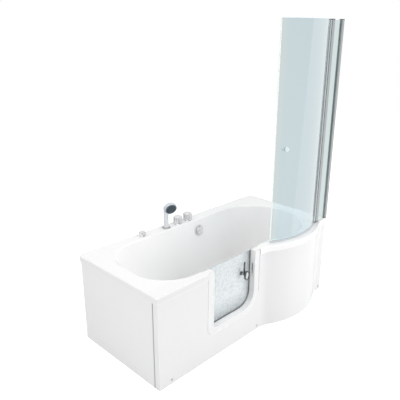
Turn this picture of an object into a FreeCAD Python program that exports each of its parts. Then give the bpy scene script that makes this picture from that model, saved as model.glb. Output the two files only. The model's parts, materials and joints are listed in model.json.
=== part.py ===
import FreeCAD, Part
import math
import os
import re
import Sketcher

# Walk-in shower bath with a round shower end, a glass door in its front and a curved hinged screen.
# Lengths are millimetres, angles degrees. Plan places count from the left end (x) and the straight front (y).

DIMENSIONS = {
    # Bath and rim
    "bath_length": 1675, "bath_width": 750, "bath_height": 600,
    "end_flat": 54, "bulge_radius": 580, "bulge_depth": 95, "bulge_blend": 160,
    "shell_wall": 6, "rim_drop": 40, "rim_round": 8, "corner_round": 14,
    "upstand_width": 5, "upstand_height": 3,
    # Basin
    "left_ledge": 95, "back_ledge": 82, "front_ledge": 60, "end_ledge": 99, "shower_ledge": 95,
    "backrest_flat": 118, "basin_blend": 110, "floor_height": 150, "side_slope": 70, "backrest_slope": 200,
    "floor_round": 80, "basin_edge_round": 10,
    # Panels
    "panel_setback": 8, "panel_wall": 5, "panel_tuck": 14, "panel_return": 44, "panel_gap": 3,
    "panel_lap": 15, "batten_depth": 20, "batten_height": 38, "batten_lift": 8, "batten_inset": 60,
    "batten_past_screw": 12, "screw_height": 27, "screw_radius": 2, "screw_length": 26, "screw_head": 2.2,
    "cap_radius": 8, "cap_depth": 5, "first_screw": 103, "second_screw_clear": 17, "third_screw_inset": 30,
    "clip_length": 30, "clip_depth": 14, "clip_drop": 26, "clip_gap": 2, "clip_front": 220, "clip_back": 190,
    # Doorway
    "door_width": 380, "door_clear": 18, "sill_height": 210, "door_corner": 105, "door_hinge_corner": 12,
    "flange_width": 50, "flange_recess": 4, "frame_wall": 5, "flange_round": 2,
    "bulkhead_front": 38, "pocket_hinge_side": 83, "pocket_latch_side": 87, "pocket_round": 30,
    "pocket_drop": 34, "pocket_depth": 150,
    "seal_inside": 6, "seal_outside": 14, "seal_thickness": 4,
    # Door
    "seal_gap": 0.3, "door_glass": 8, "glass_overlap": 22, "glass_top_drop": 3,
    "hinge_offset": 40, "hinge_rise": 70, "hinge_top_drop": 100, "hinge_pin_radius": 3,
    "hinge_barrel": 7, "leaf_thickness": 6, "leaf_length": 60, "leaf_height": 20, "bracket_height": 56,
    "bracket_width": 20, "bracket_plate": 4, "bracket_past_pin": 12,
    "leaf_bolt_radius": 3, "leaf_bolt_place": 54, "leaf_bolt_spread": 10, "bolt_head": 2.4, "tap_floor": 1,
    # Latch
    "latch_inset": 80, "latch_drop": 142, "spindle_radius": 5, "latch_bush": 9, "bush_flange": 2.5,
    "lever_width": 38, "lever_side": 15, "lever_thickness": 9, "lever_reach": 0, "lever_rim": 5,
    "lever_dish": 1.5, "lever_hub": 10, "lever_cover": 3, "inner_hub_length": 20, "inner_wing_depth": 12,
    "inner_wing_width": 13, "inner_wing_reach": 38,
    "latch_bar_thickness": 4, "latch_bar_width": 14, "latch_bite": 8, "latch_bar_bevel": 4,
    "latch_play": 3, "keeper_thickness": 1.5, "keeper_side": 3, "keeper_end": 8,
    # Screen
    "screen_height": 1400, "glass_inset": 45, "screen_glass": 6, "pivot_angle": 29, "free_angle": 29.6,
    "profile_width": 24, "wall_profile_depth": 24, "profile_base": 6, "post_depth": 30, "post_slot": 14,
    "knuckle_radius": 11, "knuckle_lap": 1.5, "pane_end_room": 14,
    "pivot_pin_radius": 4, "pivot_pin_length": 22, "arm_length": 26, "arm_width": 15, "arm_angle": 27.8,
    "arm_web": 4, "glass_bed": 2, "end_cap": 6, "screen_seal_height": 12, "screen_seal_wall": 1,
    "screen_seal_end": 6, "screen_lift": 1, "wall_hole_radius": 2.5, "wall_hole_spacing": 1200,
    "knob_angle": 21.4, "knob_height": 630, "knob_radius": 15, "knob_depth": 20, "knob_crown": 3,
    "knob_skin": 7, "stud_radius": 4,
    # Deck fittings
    "deck_from_back": 45, "diverter_from_end": 1203, "handset_from_end": 986, "hot_from_end": 874,
    "cold_from_end": 776, "valve_radius": 14, "valve_depth": 80, "tail_radius": 10.4, "tail_length": 30,
    "tail_bore": 7, "escutcheon_height": 6, "valve_neck": 8, "deck_nut_height": 12, "deck_nut_wall": 8,
    "spindle_top": 26, "valve_stem": 6, "tap_knob_radius": 33, "tap_knob_height": 58,
    "diverter_knob_radius": 23, "diverter_knob_height": 36, "knob_lift": 1, "flute_radius": 9.5,
    "flute_reach": 5.5, "flute_rise": 8,
    # Hand shower
    "guide_radius": 31, "guide_height": 8, "guide_depth": 60, "guide_wall": 3.5, "guide_hole_gap": 4,
    "handle_radius": 18.5, "handle_height": 148, "handle_collar": 2, "handle_taper": 1, "neck_inset": 1.5,
    "neck_flare": 4, "head_depth": 32, "head_forward": 94, "head_height": 171, "head_tilt": 22,
    "head_turn": 20, "face_radius": 39, "face_rim": 5.5, "face_depth": 5,
    # Overflow
    "overflow_from_end": 710, "overflow_drop": 86, "overflow_radius": 43, "overflow_rim": 7,
    "overflow_knob": 29, "overflow_knob_depth": 21, "overflow_stem": 5, "overflow_stem_length": 26,
    "overflow_neck": 25, "overflow_pot": 30, "overflow_depth": 44, "overflow_flange": 8, "overflow_wall": 4,
    "overflow_pipe": 12.5, "pipe_wall": 1.5, "pipe_bend": 60, "pipe_offset": 27, "pipe_socket": 4,
    "pipe_grip": 10,
    # Waste
    "waste_from_back": 310, "waste_flange": 36, "waste_rim": 3, "waste_tube": 24, "waste_tube_wall": 3.5,
    "waste_tube_length": 50, "plug_radius": 30, "plug_stem": 4, "plug_stem_length": 46, "plug_crown": 12,
    "stem_guide_wall": 4, "stem_guide_low": 30, "stem_guide_height": 10, "guide_rib": 3,
    "waste_body": 30, "waste_body_low": 40, "waste_collar": 9, "waste_collar_height": 8,
    "side_arm_length": 24,
    "trap_radius": 42, "trap_lift": 8, "trap_height": 50, "trap_wall": 4, "trap_lid": 5,
    "outlet_radius": 20, "outlet_end": 30, "outlet_spigot": 60, "outlet_wall": 3, "outlet_step": 1.5,
    "pipe_height": 75,
    # Support
    "board_thickness": 18, "board_left": 400, "board_from_end": 225, "board_front": 170,
    "board_from_back": 190, "board_hole_gap": 15,
    "rail_size": 30, "rail_wall": 2, "rail_left": 330, "rail_from_end": 175, "rail_front": 190,
    "rail_from_back": 240, "foot_first": 370, "foot_middle_from_end": 775, "foot_last_from_end": 215,
    "cross_first": 420, "cross_middle_from_end": 555, "cross_last_from_end": 295,
    "rod_radius": 6, "rod_top_drop": 6, "foot_radius": 28, "foot_height": 22, "foot_seat": 12,
    "foot_edge": 5, "foot_neck": 6, "nut_height": 10, "nut_radius": 11,
    # Fits
    "running_gap": 0.05, "slip_gap": 0.3, "free_gap": 0.5, "joint_lap": 1, "beyond": 10,
}

# Sizes and places that follow from the dimensions, counted from the left end and the straight front
PLACES = {
    # Shower end
    "bulge_half": "sqrt(2 * (bulge_radius + bulge_blend) * bulge_depth - bulge_depth ^ 2)",
    "bulge_centre": "bath_length - end_flat - bulge_half",
    "bulge_start": "bulge_centre - bulge_half",
    "shower_radius": "(bath_width - back_ledge + bulge_depth - shower_ledge) / 2",
    "shower_centre": "bath_length - end_ledge - shower_radius",
    "basin_corner": "(bath_width - back_ledge - front_ledge - backrest_flat) / 2",
    "above": "bath_height + beyond",
    "rim_low": "bath_height - rim_drop",
    "under_deck": "bath_height - shell_wall",
    # Panels
    "panel_top": "bath_height - panel_tuck",
    "panel_back": "panel_setback + panel_wall",
    "clip_low": "under_deck - clip_drop",
    "second_screw": "bulge_start - second_screw_clear",
    "third_screw": "bath_length - third_screw_inset",
    # Doorway and door
    "flange_thickness": "panel_setback - flange_recess",
    "door_left": "bulge_start - door_clear - flange_width - door_width",
    "door_right": "door_left + door_width",
    "pocket_left": "door_left - pocket_hinge_side",
    "pocket_right": "door_right + pocket_latch_side",
    "hinge_line": "door_left - hinge_offset",
    "hinge_low": "sill_height + hinge_rise",
    "hinge_high": "bath_height - hinge_top_drop",
    "latch_place": "door_right - latch_inset",
    "latch_height": "bath_height - latch_drop",
    "pocket_low": "sill_height - pocket_drop",
    "inner_face": "bulkhead_front + shell_wall",
    "door_top": "bath_height - glass_top_drop",
    "glass_front": "inner_face + seal_thickness + seal_gap",
    "glass_back": "glass_front + door_glass",
    "hinge_depth": "glass_back + leaf_thickness / 2",
    "bolt_line": "hinge_line + leaf_bolt_place",
    "tap_depth": "leaf_thickness - tap_floor",
    "bolt_end": "bolt_head + door_glass + tap_depth - slip_gap",
    # Latch
    "lever_front": "-lever_reach",
    "lever_half": "lever_width / 2",
    "hub_start": "lever_front + lever_thickness - joint_lap",
    "spindle_start": "lever_front + lever_cover",
    "spindle_bore": "spindle_radius + running_gap",
    "inner_start": "glass_back + bush_flange + free_gap",
    "spindle_end": "inner_start + inner_hub_length - lever_cover",
    "bar_front": "(panel_back + bulkhead_front - latch_bar_thickness) / 2",
    "bar_half": "latch_bar_width / 2",
    "bar_length": "latch_inset + latch_bite",
    "bar_rise": "sqrt(bar_length ^ 2 - latch_inset ^ 2)",
    "slot_low": "latch_height - bar_half - latch_play",
    "slot_height": "bar_rise + latch_bar_width + 2 * latch_play",
    "slot_depth": "latch_bar_thickness + 2 * free_gap",
    # Shower screen
    "screen_radius": "bulge_radius - glass_inset",
    "screen_depth": "bulge_radius - bulge_depth",
    "screen_top": "bath_height + screen_height",
    "pivot_x": "bulge_centre + screen_radius * sin(pivot_angle)",
    "pivot_y": "screen_depth - screen_radius * cos(pivot_angle)",
    "between_caps": "screen_height - 2 * end_cap",
    "profile_half": "profile_width / 2",
    "slot_half": "screen_glass / 2 + slip_gap",
    "post_start": "knuckle_radius - knuckle_lap",
    "post_end": "post_start + post_depth",
    "post_bed": "post_end - post_slot",
    "pane_left": "pivot_x + post_bed + glass_bed",
    "pane_right": "bath_length - pane_end_room",
    "swing_low": "bath_height + end_cap + free_gap",
    "swing_height": "between_caps - 2 * free_gap",
    "arm_half": "arm_width / 2",
    "arm_slot_half": "slot_half + slip_gap",
    "arm_bed": "knuckle_radius + arm_web - glass_bed",
    "glass_low": "bath_height + screen_lift + screen_seal_height",
    "glass_height": "screen_top - glass_low",
    "knob_x": "bulge_centre - screen_radius * sin(knob_angle)",
    "knob_y": "screen_depth - screen_radius * cos(knob_angle)",
    "knob_foot": "screen_glass / 2 + slip_gap",
    "stud_bore": "stud_radius + running_gap",
    "stud_depth": "knob_depth + knob_crown - knob_skin",
    # Fittings on the deck, in the back wall and in the floor
    "deck_line": "bath_width - deck_from_back",
    "diverter_place": "bath_length - diverter_from_end",
    "handset_place": "bath_length - handset_from_end",
    "hot_place": "bath_length - hot_from_end",
    "cold_place": "bath_length - cold_from_end",
    "overflow_place": "bath_length - overflow_from_end",
    "valve_top": "escutcheon_height + valve_neck",
    "knob_low": "escutcheon_height + knob_lift",
    "deck_nut_low": "under_deck - deck_nut_height",
    "guide_bore": "handle_radius + slip_gap",
    "guide_tube": "handle_radius + guide_wall",
    "collar_low": "guide_height + running_gap",
    "handle_top": "handle_radius - handle_taper",
    "head_radius": "face_radius + face_rim",
    "head_edge": "0.6 * head_depth",
    "overflow_height": "bath_height - overflow_drop",
    "overflow_face": "bath_width - back_ledge - side_slope * overflow_drop / (bath_height - floor_height)",
    "pot_back": "-overflow_depth - overflow_wall",
    "pipe_line": "overflow_face + shell_wall + pipe_offset",
    "socket_low": "overflow_height - overflow_pot - 2 * pipe_grip",
    "pipe_top": "socket_low + pipe_grip",
    "pipe_end": "waste_line + waste_body + side_arm_length - pipe_grip",
    "waste_line": "bath_width - waste_from_back",
    "waste_bore": "waste_tube - waste_tube_wall",
    "trap_middle": "trap_lift + trap_height / 2",
    "trap_bore": "trap_radius - trap_wall",
    "outlet_start": "waste_line + trap_radius - 2 * trap_wall",
    "outlet_length": "bath_width - outlet_end - outlet_start",
    # Support
    "board_right": "bath_length - board_from_end",
    "board_back": "bath_width - board_from_back",
    "board_low": "floor_height - shell_wall - board_thickness",
    "rail_low": "board_low - rail_size",
    "rail_right": "bath_length - rail_from_end",
    "rail_back": "bath_width - rail_from_back",
    "foot_middle": "bath_length - foot_middle_from_end",
    "foot_last": "bath_length - foot_last_from_end",
    "cross_middle": "bath_length - cross_middle_from_end",
    "cross_last": "bath_length - cross_last_from_end",
}

doc = FreeCAD.newDocument("walk_in_bath")
sheet = doc.addObject("Spreadsheet::Sheet", "Dim")
for row, (name, value) in enumerate(DIMENSIONS.items(), start=1):
    sheet.set(f"A{row}", name)
    sheet.set(f"B{row}", str(value))
    sheet.setAlias(f"B{row}", name)
doc.recompute()

NAME = re.compile(r"\b[A-Za-z_]\w*\b(?!\()")
X_AXIS = FreeCAD.Vector(1, 0, 0)
Y_AXIS = FreeCAD.Vector(0, 1, 0)
Z_AXIS = FreeCAD.Vector(0, 0, 1)
UPRIGHT = FreeCAD.Rotation(X_AXIS, 90)
LEVEL = FreeCAD.Rotation()
pieces = {}


def bound(text):
    """The text with every place written out and every dimension's name pointing at its cell."""
    def written(match):
        name = match.group(0)
        return f"({bound(PLACES[name])})" if name in PLACES else "Dim." + name

    return NAME.sub(written, str(text))


def num(text):
    """The value of a text made of dimensions."""
    return float(sheet.evalExpression(bound(text)))


def across(text):
    """A place counted from the left end, in the part's frame."""
    return f"({text}) - bath_length / 2"


def deep(text):
    """A place counted from the straight front, in the part's frame."""
    return f"({text}) - (bath_width - bulge_depth) / 2"


def point(x, y, z):
    """A place in the part's frame as a vector."""
    return FreeCAD.Vector(num(across(x)), num(deep(y)), num(z))


def place(thing, x, y, z, turn=LEVEL):
    """Puts a thing at a place that follows the sheet."""
    thing.Placement = FreeCAD.Placement(point(x, y, z), turn)
    thing.setExpression("Placement.Base.x", bound(across(x)))
    thing.setExpression("Placement.Base.y", bound(deep(y)))
    thing.setExpression("Placement.Base.z", bound(z))
    return thing


def new(kind, name):
    """A new object of the document."""
    return doc.addObject(kind, name)


def box(name, at, size):
    """A block from its lowest corner."""
    thing = new("Part::Box", name)
    for side, text in zip(("Length", "Width", "Height"), size):
        thing.setExpression(side, bound(text))
    return place(thing, *at)


TURNS = {
    "x": FreeCAD.Rotation(Y_AXIS, 90),
    "y": FreeCAD.Rotation(X_AXIS, -90),
    "z": LEVEL,
}


def rod(name, at, radius, length, along="z"):
    """A cylinder that starts at a place."""
    thing = new("Part::Cylinder", name)
    thing.setExpression("Radius", bound(radius))
    thing.setExpression("Height", bound(length))
    turn = TURNS[along] if isinstance(along, str) else along
    return place(thing, *at, turn=turn)


def hexagon(name, at, radius, length):
    """A six-sided prism that stands on a place."""
    thing = new("Part::Prism", name)
    thing.Polygon = 6
    thing.setExpression("Circumradius", bound(radius))
    thing.setExpression("Height", bound(length))
    return place(thing, *at)


def fuse(name, *things):
    """The things joined into one."""
    joined = new("Part::MultiFuse", name)
    joined.Shapes = list(things)
    joined.Refine = True
    return joined


def cut(name, base, *tools):
    """The base with the tools taken out of it."""
    taken = new("Part::Cut", name)
    taken.Base = base
    taken.Tool = tools[0] if len(tools) == 1 else fuse(name + "_tools", *tools)
    taken.Refine = True
    return taken


def common(name, first, second):
    """What two things share."""
    shared = new("Part::Common", name)
    shared.Base = first
    shared.Tool = second
    shared.Refine = True
    return shared


def group(name, *things):
    """Separate solids that share one piece."""
    together = new("Part::Compound", name)
    together.Links = list(things)
    return together


def rounded(name, base, radius, chosen):
    """The base with the chosen edges rounded."""
    doc.recompute()
    size = num(radius)
    edges = [i for i, edge in enumerate(base.Shape.Edges, start=1) if chosen(edge)]
    soft = new("Part::Fillet", name)
    soft.Base = base
    soft.Edges = [(i, size, size) for i in edges]
    return soft


def outline(body, name, corners):
    """A closed sketch through corners; a third value makes an arc to that corner, minus for clockwise."""
    sketch = body.newObject("Sketcher::SketchObject", name)
    planes = [f for f in body.Origin.OriginFeatures if f.Role == "XY_Plane"]
    sketch.AttachmentSupport = (planes[0], [""])
    sketch.MapMode = "FlatFace"
    spots = [FreeCAD.Vector(num(c[0]), num(c[1]), 0) for c in corners]
    ends = []
    for i, corner in enumerate(corners):
        start, stop = spots[i - 1], spots[i]
        if len(corner) == 2:
            sketch.addGeometry(Part.LineSegment(start, stop), False)
            ends.append((1, 2))
            continue
        radius = num(corner[2])
        turn = 1 if radius > 0 else -1
        half = (stop - start) * 0.5
        side = FreeCAD.Vector(-half.y, half.x, 0).normalize() * turn
        rise = math.sqrt(max(radius * radius - half.Length ** 2, 0))
        centre = start + half + side * rise
        first, last = (start, stop) if turn > 0 else (stop, start)
        angle_a = math.atan2(first.y - centre.y, first.x - centre.x)
        angle_b = math.atan2(last.y - centre.y, last.x - centre.x)
        circle = Part.Circle(centre, Z_AXIS, abs(radius))
        sketch.addGeometry(Part.ArcOfCircle(circle, angle_a, angle_b), False)
        ends.append((1, 2) if turn > 0 else (2, 1))
    for i, corner in enumerate(corners):
        follower = (i + 1) % len(corners)
        sketch.addConstraint(Sketcher.Constraint("Coincident", i, ends[i][1], follower, ends[follower][0]))
        for kind, text, spot in (("DistanceX", corner[0], spots[i].x), ("DistanceY", corner[1], spots[i].y)):
            number = sketch.addConstraint(Sketcher.Constraint(kind, -1, 1, i, ends[i][1], spot))
            sketch.setExpression(f"Constraints[{number}]", bound(text))
        if len(corner) == 3:
            number = sketch.addConstraint(Sketcher.Constraint("Radius", i, abs(num(corner[2]))))
            sketch.setExpression(f"Constraints[{number}]", bound(f"abs({corner[2]})"))
    return sketch


def prism(name, corners, length, at, turn=LEVEL):
    """A straight body of an outline."""
    body = new("PartDesign::Body", name)
    sketch = outline(body, name + "_outline", corners)
    pad = body.newObject("PartDesign::Pad", name + "_pad")
    pad.Profile = sketch
    pad.setExpression("Length", bound(length))
    body.Tip = pad
    return place(body, *at, turn=turn)


def turned(name, corners, at, direction=Z_AXIS):
    """A round body: corners are distance from the axis and height along it."""
    body = new("PartDesign::Body", name)
    sketch = outline(body, name + "_outline", corners)
    spin = body.newObject("PartDesign::Revolution", name + "_spin")
    spin.Profile = sketch
    spin.ReferenceAxis = (sketch, ["V_Axis"])
    spin.Angle = 360
    body.Tip = spin
    return place(body, *at, turn=FreeCAD.Rotation(Y_AXIS, direction))


def piece(label, thing):
    """Keeps a thing as one piece of the assembly."""
    thing.Label = label
    pieces[label] = thing
    return thing


def rectangle(left, low, right, high):
    """The corners of a rectangle."""
    return [(left, low), (right, low), (right, high), (left, high)]


def near(first, second):
    """True for two places that are the same but for rounding errors."""
    return abs(first - second) < 0.01


def at_height(edge, height):
    """True for an edge that lies level at a height."""
    return near(edge.BoundBox.ZMin, height) and near(edge.BoundBox.ZMax, height)


def is_upright(edge):
    """True for a straight vertical edge."""
    span = edge.BoundBox
    return near(span.XLength, 0) and near(span.YLength, 0) and not near(span.ZLength, 0)


# Bath shell: plan of the rim, with the rounded shower end
def bath_plan(name, inset, low, high, soft_corners=False):
    """The bath seen from above, made smaller by an inset, between two heights."""
    height = f"({high}) - ({low})"
    block = box(name + "_block", (inset, inset, low),
                (f"bath_length - 2 * ({inset})", f"bath_width - 2 * ({inset})", height))
    drum = rod(name + "_drum", ("bulge_centre", "bulge_radius - bulge_depth", low),
               f"bulge_radius - ({inset})", height)
    limit = box(name + "_limit", ("bulge_centre - bulge_radius", "-bulge_depth - beyond", low),
                ("2 * bulge_radius", f"bulge_depth + 3 * beyond + ({inset})", height))
    whole = fuse(name + "_whole", block, common(name + "_bulge", drum, limit))
    front = num(deep(inset))
    left = num(across(inset))
    centre = num(across("bulge_centre"))
    reach = num("bulge_half")
    plan = rounded(name + "_plan", whole, f"bulge_blend + ({inset})",
                   lambda e: is_upright(e) and near(e.CenterOfMass.y, front)
                   and abs(e.CenterOfMass.x - centre) < reach)
    if soft_corners:
        plan = rounded(name + "_corners", plan, "corner_round",
                       lambda e: is_upright(e) and near(e.CenterOfMass.x, left))
    return plan


def basin_wire(level, grow):
    """The basin's outline at a level, made larger by a wall."""
    share = num(f"(bath_height - ({level})) / (bath_height - floor_height)")
    inset = num("side_slope") * share - num(grow)
    left = num("left_ledge + basin_corner") + num("backrest_slope") * share
    front = num("front_ledge") + inset
    back = num("bath_width - back_ledge") - inset
    corner = num("basin_corner") - inset
    radius = num("shower_radius") - inset
    cx = num("shower_centre")
    cy = num("bath_width - back_ledge - shower_radius")
    by = num("front_ledge - basin_blend")
    reach = num("shower_radius + basin_blend")
    bx = cx - math.sqrt(reach ** 2 - (cy - by) ** 2)
    blend = num("basin_blend") + inset
    toward = math.atan2(by - cy, bx - cx)
    z = num(level)

    def at(x, y):
        return FreeCAD.Vector(x + num(across(0)), y + num(deep(0)), z)

    def arc(x, y, r, a, b):
        middle = (a + b) / 2
        spots = [at(x + r * math.cos(t), y + r * math.sin(t)) for t in (a, middle, b)]
        return Part.Arc(*spots).toShape()

    quarter = math.pi / 2
    away = toward + math.pi
    edges = [
        Part.LineSegment(at(left, front), at(bx, front)).toShape(),
        arc(bx, by, blend, quarter, away),
        arc(cx, cy, radius, toward, -quarter),
        arc(cx, cy, radius, -quarter, 0),
        arc(cx, cy, radius, 0, quarter),
        Part.LineSegment(at(cx, back), at(left, back)).toShape(),
        arc(left, back - corner, corner, quarter, 2 * quarter),
        Part.LineSegment(at(left - corner, back - corner), at(left - corner, front + corner)).toShape(),
        arc(left, front + corner, corner, 2 * quarter, 3 * quarter),
    ]
    return Part.Wire(edges)


def basin(name, top, low, grow, radius):
    """A solid as wide as the basin plus a wall, with a rounded floor edge."""
    raw = new("Part::Feature", name + "_raw")
    raw.Shape = Part.makeLoft([basin_wire(top, grow), basin_wire(low, grow)], True, True)
    floor = num(low)
    return rounded(name, raw, radius, lambda e: at_height(e, floor))


def doorway(grow, top):
    """Corners of the doorway outline (across, up), made larger on three sides."""
    left = f"door_left - ({grow})"
    right = f"door_left + door_width + ({grow})"
    low = f"sill_height - ({grow})"
    sharp = f"door_hinge_corner + ({grow})"
    wide = f"door_corner + ({grow})"
    return [
        (left, top),
        (left, f"{low} + {sharp}"),
        (f"{left} + {sharp}", low, sharp),
        (f"{right} - ({wide})", low),
        (right, f"{low} + {wide}", wide),
        (right, top),
    ]


def doorway_body(name, grow, top, front, depth):
    """A doorway outline made solid from a front line backward."""
    return prism(name, doorway(grow, top), depth, (0, f"({front}) + ({depth})", 0), turn=UPRIGHT)


rim_sharp = bath_plan("rim_outer", "0", "rim_low", "bath_height", soft_corners=True)
rim_soft = rounded("rim_soft", rim_sharp, "rim_round", lambda e: at_height(e, num("bath_height")))
rim_hollow = bath_plan("rim_hollow", "shell_wall", "rim_low - beyond", "under_deck")
rim = cut("rim", rim_soft, rim_hollow)
basin_outer = basin("basin_outer", "bath_height - joint_lap", "floor_height - shell_wall", "shell_wall",
                    "floor_round + shell_wall")
basin_inner = basin("basin_inner", "above", "floor_height", "0", "floor_round")


def pocket(name, left, front, low, size, radius):
    """A block behind the doorway with rounded front corners."""
    block = box(name + "_block", (left, front, low), size)
    face = num(deep(front))
    return rounded(name, block, radius, lambda e: is_upright(e) and near(e.CenterOfMass.y, face))


pocket_outer = pocket("pocket_outer", "pocket_left - shell_wall", "bulkhead_front", "pocket_low - shell_wall",
                      ("pocket_right - pocket_left + 2 * shell_wall", "pocket_depth + 2 * shell_wall",
                       "bath_height - joint_lap - pocket_low + shell_wall"), "pocket_round + shell_wall")
pocket_inner = pocket("pocket_inner", "pocket_left", "inner_face", "pocket_low",
                      ("pocket_right - pocket_left", "pocket_depth", "above - pocket_low"), "pocket_round")
back_upstand = box("back_upstand", ("corner_round", "bath_width - rim_round - upstand_width", "under_deck"),
                   ("bath_length - corner_round - rim_round", "upstand_width", "shell_wall + upstand_height"))
end_upstand = box("end_upstand", ("bath_length - rim_round - upstand_width", "front_ledge", "under_deck"),
                  ("upstand_width", "bath_width - front_ledge - rim_round", "shell_wall + upstand_height"))
shell_full = fuse("shell_full", rim, basin_outer, pocket_outer, back_upstand, end_upstand)
shell_open = cut("shell_open", shell_full, basin_inner)


def on_basin_edge(edge):
    """True for the edge where the deck turns down into the basin."""
    middle = edge.valueAt((edge.FirstParameter + edge.LastParameter) / 2)
    x = middle.x - num(across(0))
    y = middle.y - num(deep(0))
    lap = num("joint_lap")
    back = num("bath_width - back_ledge")
    inside_length = num("left_ledge") - lap < x < num("shower_centre + shower_radius") + lap
    inside_width = back - 2 * num("shower_radius") - lap < y < back + lap
    return at_height(edge, num("bath_height")) and inside_length and inside_width


shell_soft = rounded("shell_soft", shell_open, "basin_edge_round", on_basin_edge)
shell_door = doorway_body("shell_door", "frame_wall + slip_gap", "above", "-beyond",
                          "inner_face + 2 * beyond")
shell_flange = doorway_body("shell_flange", "flange_width + slip_gap", "above", "-beyond",
                            "panel_setback + slip_gap + beyond")
DECK_HOLES = (
    ("diverter", "diverter_place", "valve_radius + slip_gap"),
    ("hot", "hot_place", "valve_radius + slip_gap"),
    ("cold", "cold_place", "valve_radius + slip_gap"),
    ("handset", "handset_place", "handle_radius + guide_hole_gap"),
)
deck_holes = [
    rod(f"{label}_hole", (x, "deck_line", "under_deck - beyond"), radius, "shell_wall + 2 * beyond")
    for label, x, radius in DECK_HOLES
]
lean = math.atan2(num("side_slope"), num("bath_height - floor_height"))
INTO_TUB = FreeCAD.Vector(0, -math.cos(lean), math.sin(lean))
overflow_at = ("overflow_place", "overflow_face", "overflow_height")
overflow_hole = turned("overflow_hole",
                       rectangle("0", "-3 * beyond", "overflow_neck + slip_gap", "3 * beyond"),
                       overflow_at, INTO_TUB)
waste_hole = rod("waste_hole", ("overflow_place", "waste_line", "floor_height - 2 * shell_wall"),
                 "waste_tube + slip_gap", "3 * shell_wall")
piece("bath_shell", cut("shell", shell_soft, pocket_inner, shell_door, shell_flange, overflow_hole,
                        waste_hole, *deck_holes))

# Front and end panels, tucked behind the rim's turned-down edge
panel_outer = bath_plan("panel_outer", "panel_setback", "0", "panel_top")
panel_inner = bath_plan("panel_inner", "panel_back", "-beyond", "panel_top + beyond")
panel_end_room = box("panel_end_room", ("bath_length - panel_back - joint_lap", "panel_back", "-beyond"),
                     ("panel_wall + 2 * joint_lap", "bath_width", "panel_top + 2 * beyond"))
panel_ring = cut("panel_ring", panel_outer, panel_inner, panel_end_room)
front_limit = box("front_limit", (0, "-bulge_depth", 0),
                  ("bath_length", "bulge_depth + panel_return", "panel_top"))
front_part = common("front_part", panel_ring, front_limit)
panel_door = doorway_body("panel_door", "panel_lap", "above", "-beyond", "panel_back + 2 * beyond")
SCREW_PLACES = ("first_screw", "second_screw", "third_screw")
panel_holes = [
    rod(f"panel_hole_{i}", (x, "0", "screw_height"), "screw_radius + slip_gap",
        "2 * panel_setback + panel_wall", "y")
    for i, x in enumerate(SCREW_PLACES)
]
piece("front_panel", cut("front_panel_cut", front_part, panel_door, *panel_holes))
piece("end_panel", box("end_panel_box", ("panel_setback", "panel_return + panel_gap", 0),
                       ("panel_wall", "bath_width - panel_return - panel_gap - panel_setback", "panel_top")))

# Battens on the floor, screws with cover caps, spring clips under the rim
batten_holes = [
    rod(f"batten_hole_{i}", (x, "0", "screw_height"), "screw_radius + running_gap",
        "panel_back + batten_depth + beyond", "y")
    for i, x in enumerate(SCREW_PLACES)
]
BATTENS = (
    ("long", "batten_inset", "second_screw + batten_past_screw", batten_holes[:2]),
    ("short", "third_screw - batten_past_screw", "third_screw + batten_past_screw", batten_holes[2:]),
)
battens = []
for label, left, right, holes in BATTENS:
    plain = box(f"batten_{label}", (left, "panel_back", "batten_lift"),
                (f"{right} - ({left})", "batten_depth", "batten_height"))
    battens.append(cut(f"batten_{label}_cut", plain, *holes))
battens.append(box("batten_end", ("panel_back", "batten_inset", "batten_lift"),
                   ("batten_depth", "bath_width - 2 * batten_inset", "batten_height")))
piece("panel_battens", group("battens", *battens))

FORWARD = FreeCAD.Vector(0, -1, 0)
screws = []
caps = []
for i, x in enumerate(SCREW_PLACES):
    at = (x, "panel_setback", "screw_height")
    screws.append(turned(f"panel_screw_{i}", [
        ("0", "-screw_length"), ("screw_radius", "-screw_length"), ("screw_radius", "0"),
        ("2 * screw_radius", "0"), ("2 * screw_radius", "screw_head"), ("0", "screw_head")], at, FORWARD))
    caps.append(turned(f"screw_cap_{i}", [
        ("2 * screw_radius + slip_gap", "0"), ("cap_radius", "0"), ("cap_radius", "cap_depth / 5"),
        ("cap_radius - 0.6 * cap_depth", "0.8 * cap_depth"), ("0", "0.92 * cap_depth"),
        ("0", "screw_head + slip_gap"), ("2 * screw_radius + slip_gap", "screw_head + slip_gap")],
        at, FORWARD))
piece("panel_screws", group("screws", *screws))
piece("screw_caps", group("caps", *caps))
clips = [
    box(f"clip_front_{i}", (x, "panel_back", "clip_low"), ("clip_length", "clip_depth", "clip_drop"))
    for i, x in enumerate(("panel_back + clip_gap", "bath_length - end_flat + clip_gap"))
]
CLIP_LAST = "bath_width - clip_back"
for i, y in enumerate(("clip_front", f"(clip_front + {CLIP_LAST}) / 2", CLIP_LAST)):
    clips.append(box(f"clip_end_{i}", ("panel_back", y, "clip_low"),
                     ("clip_depth", "clip_length", "clip_drop")))
piece("panel_clips", group("clips", *clips))

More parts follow.
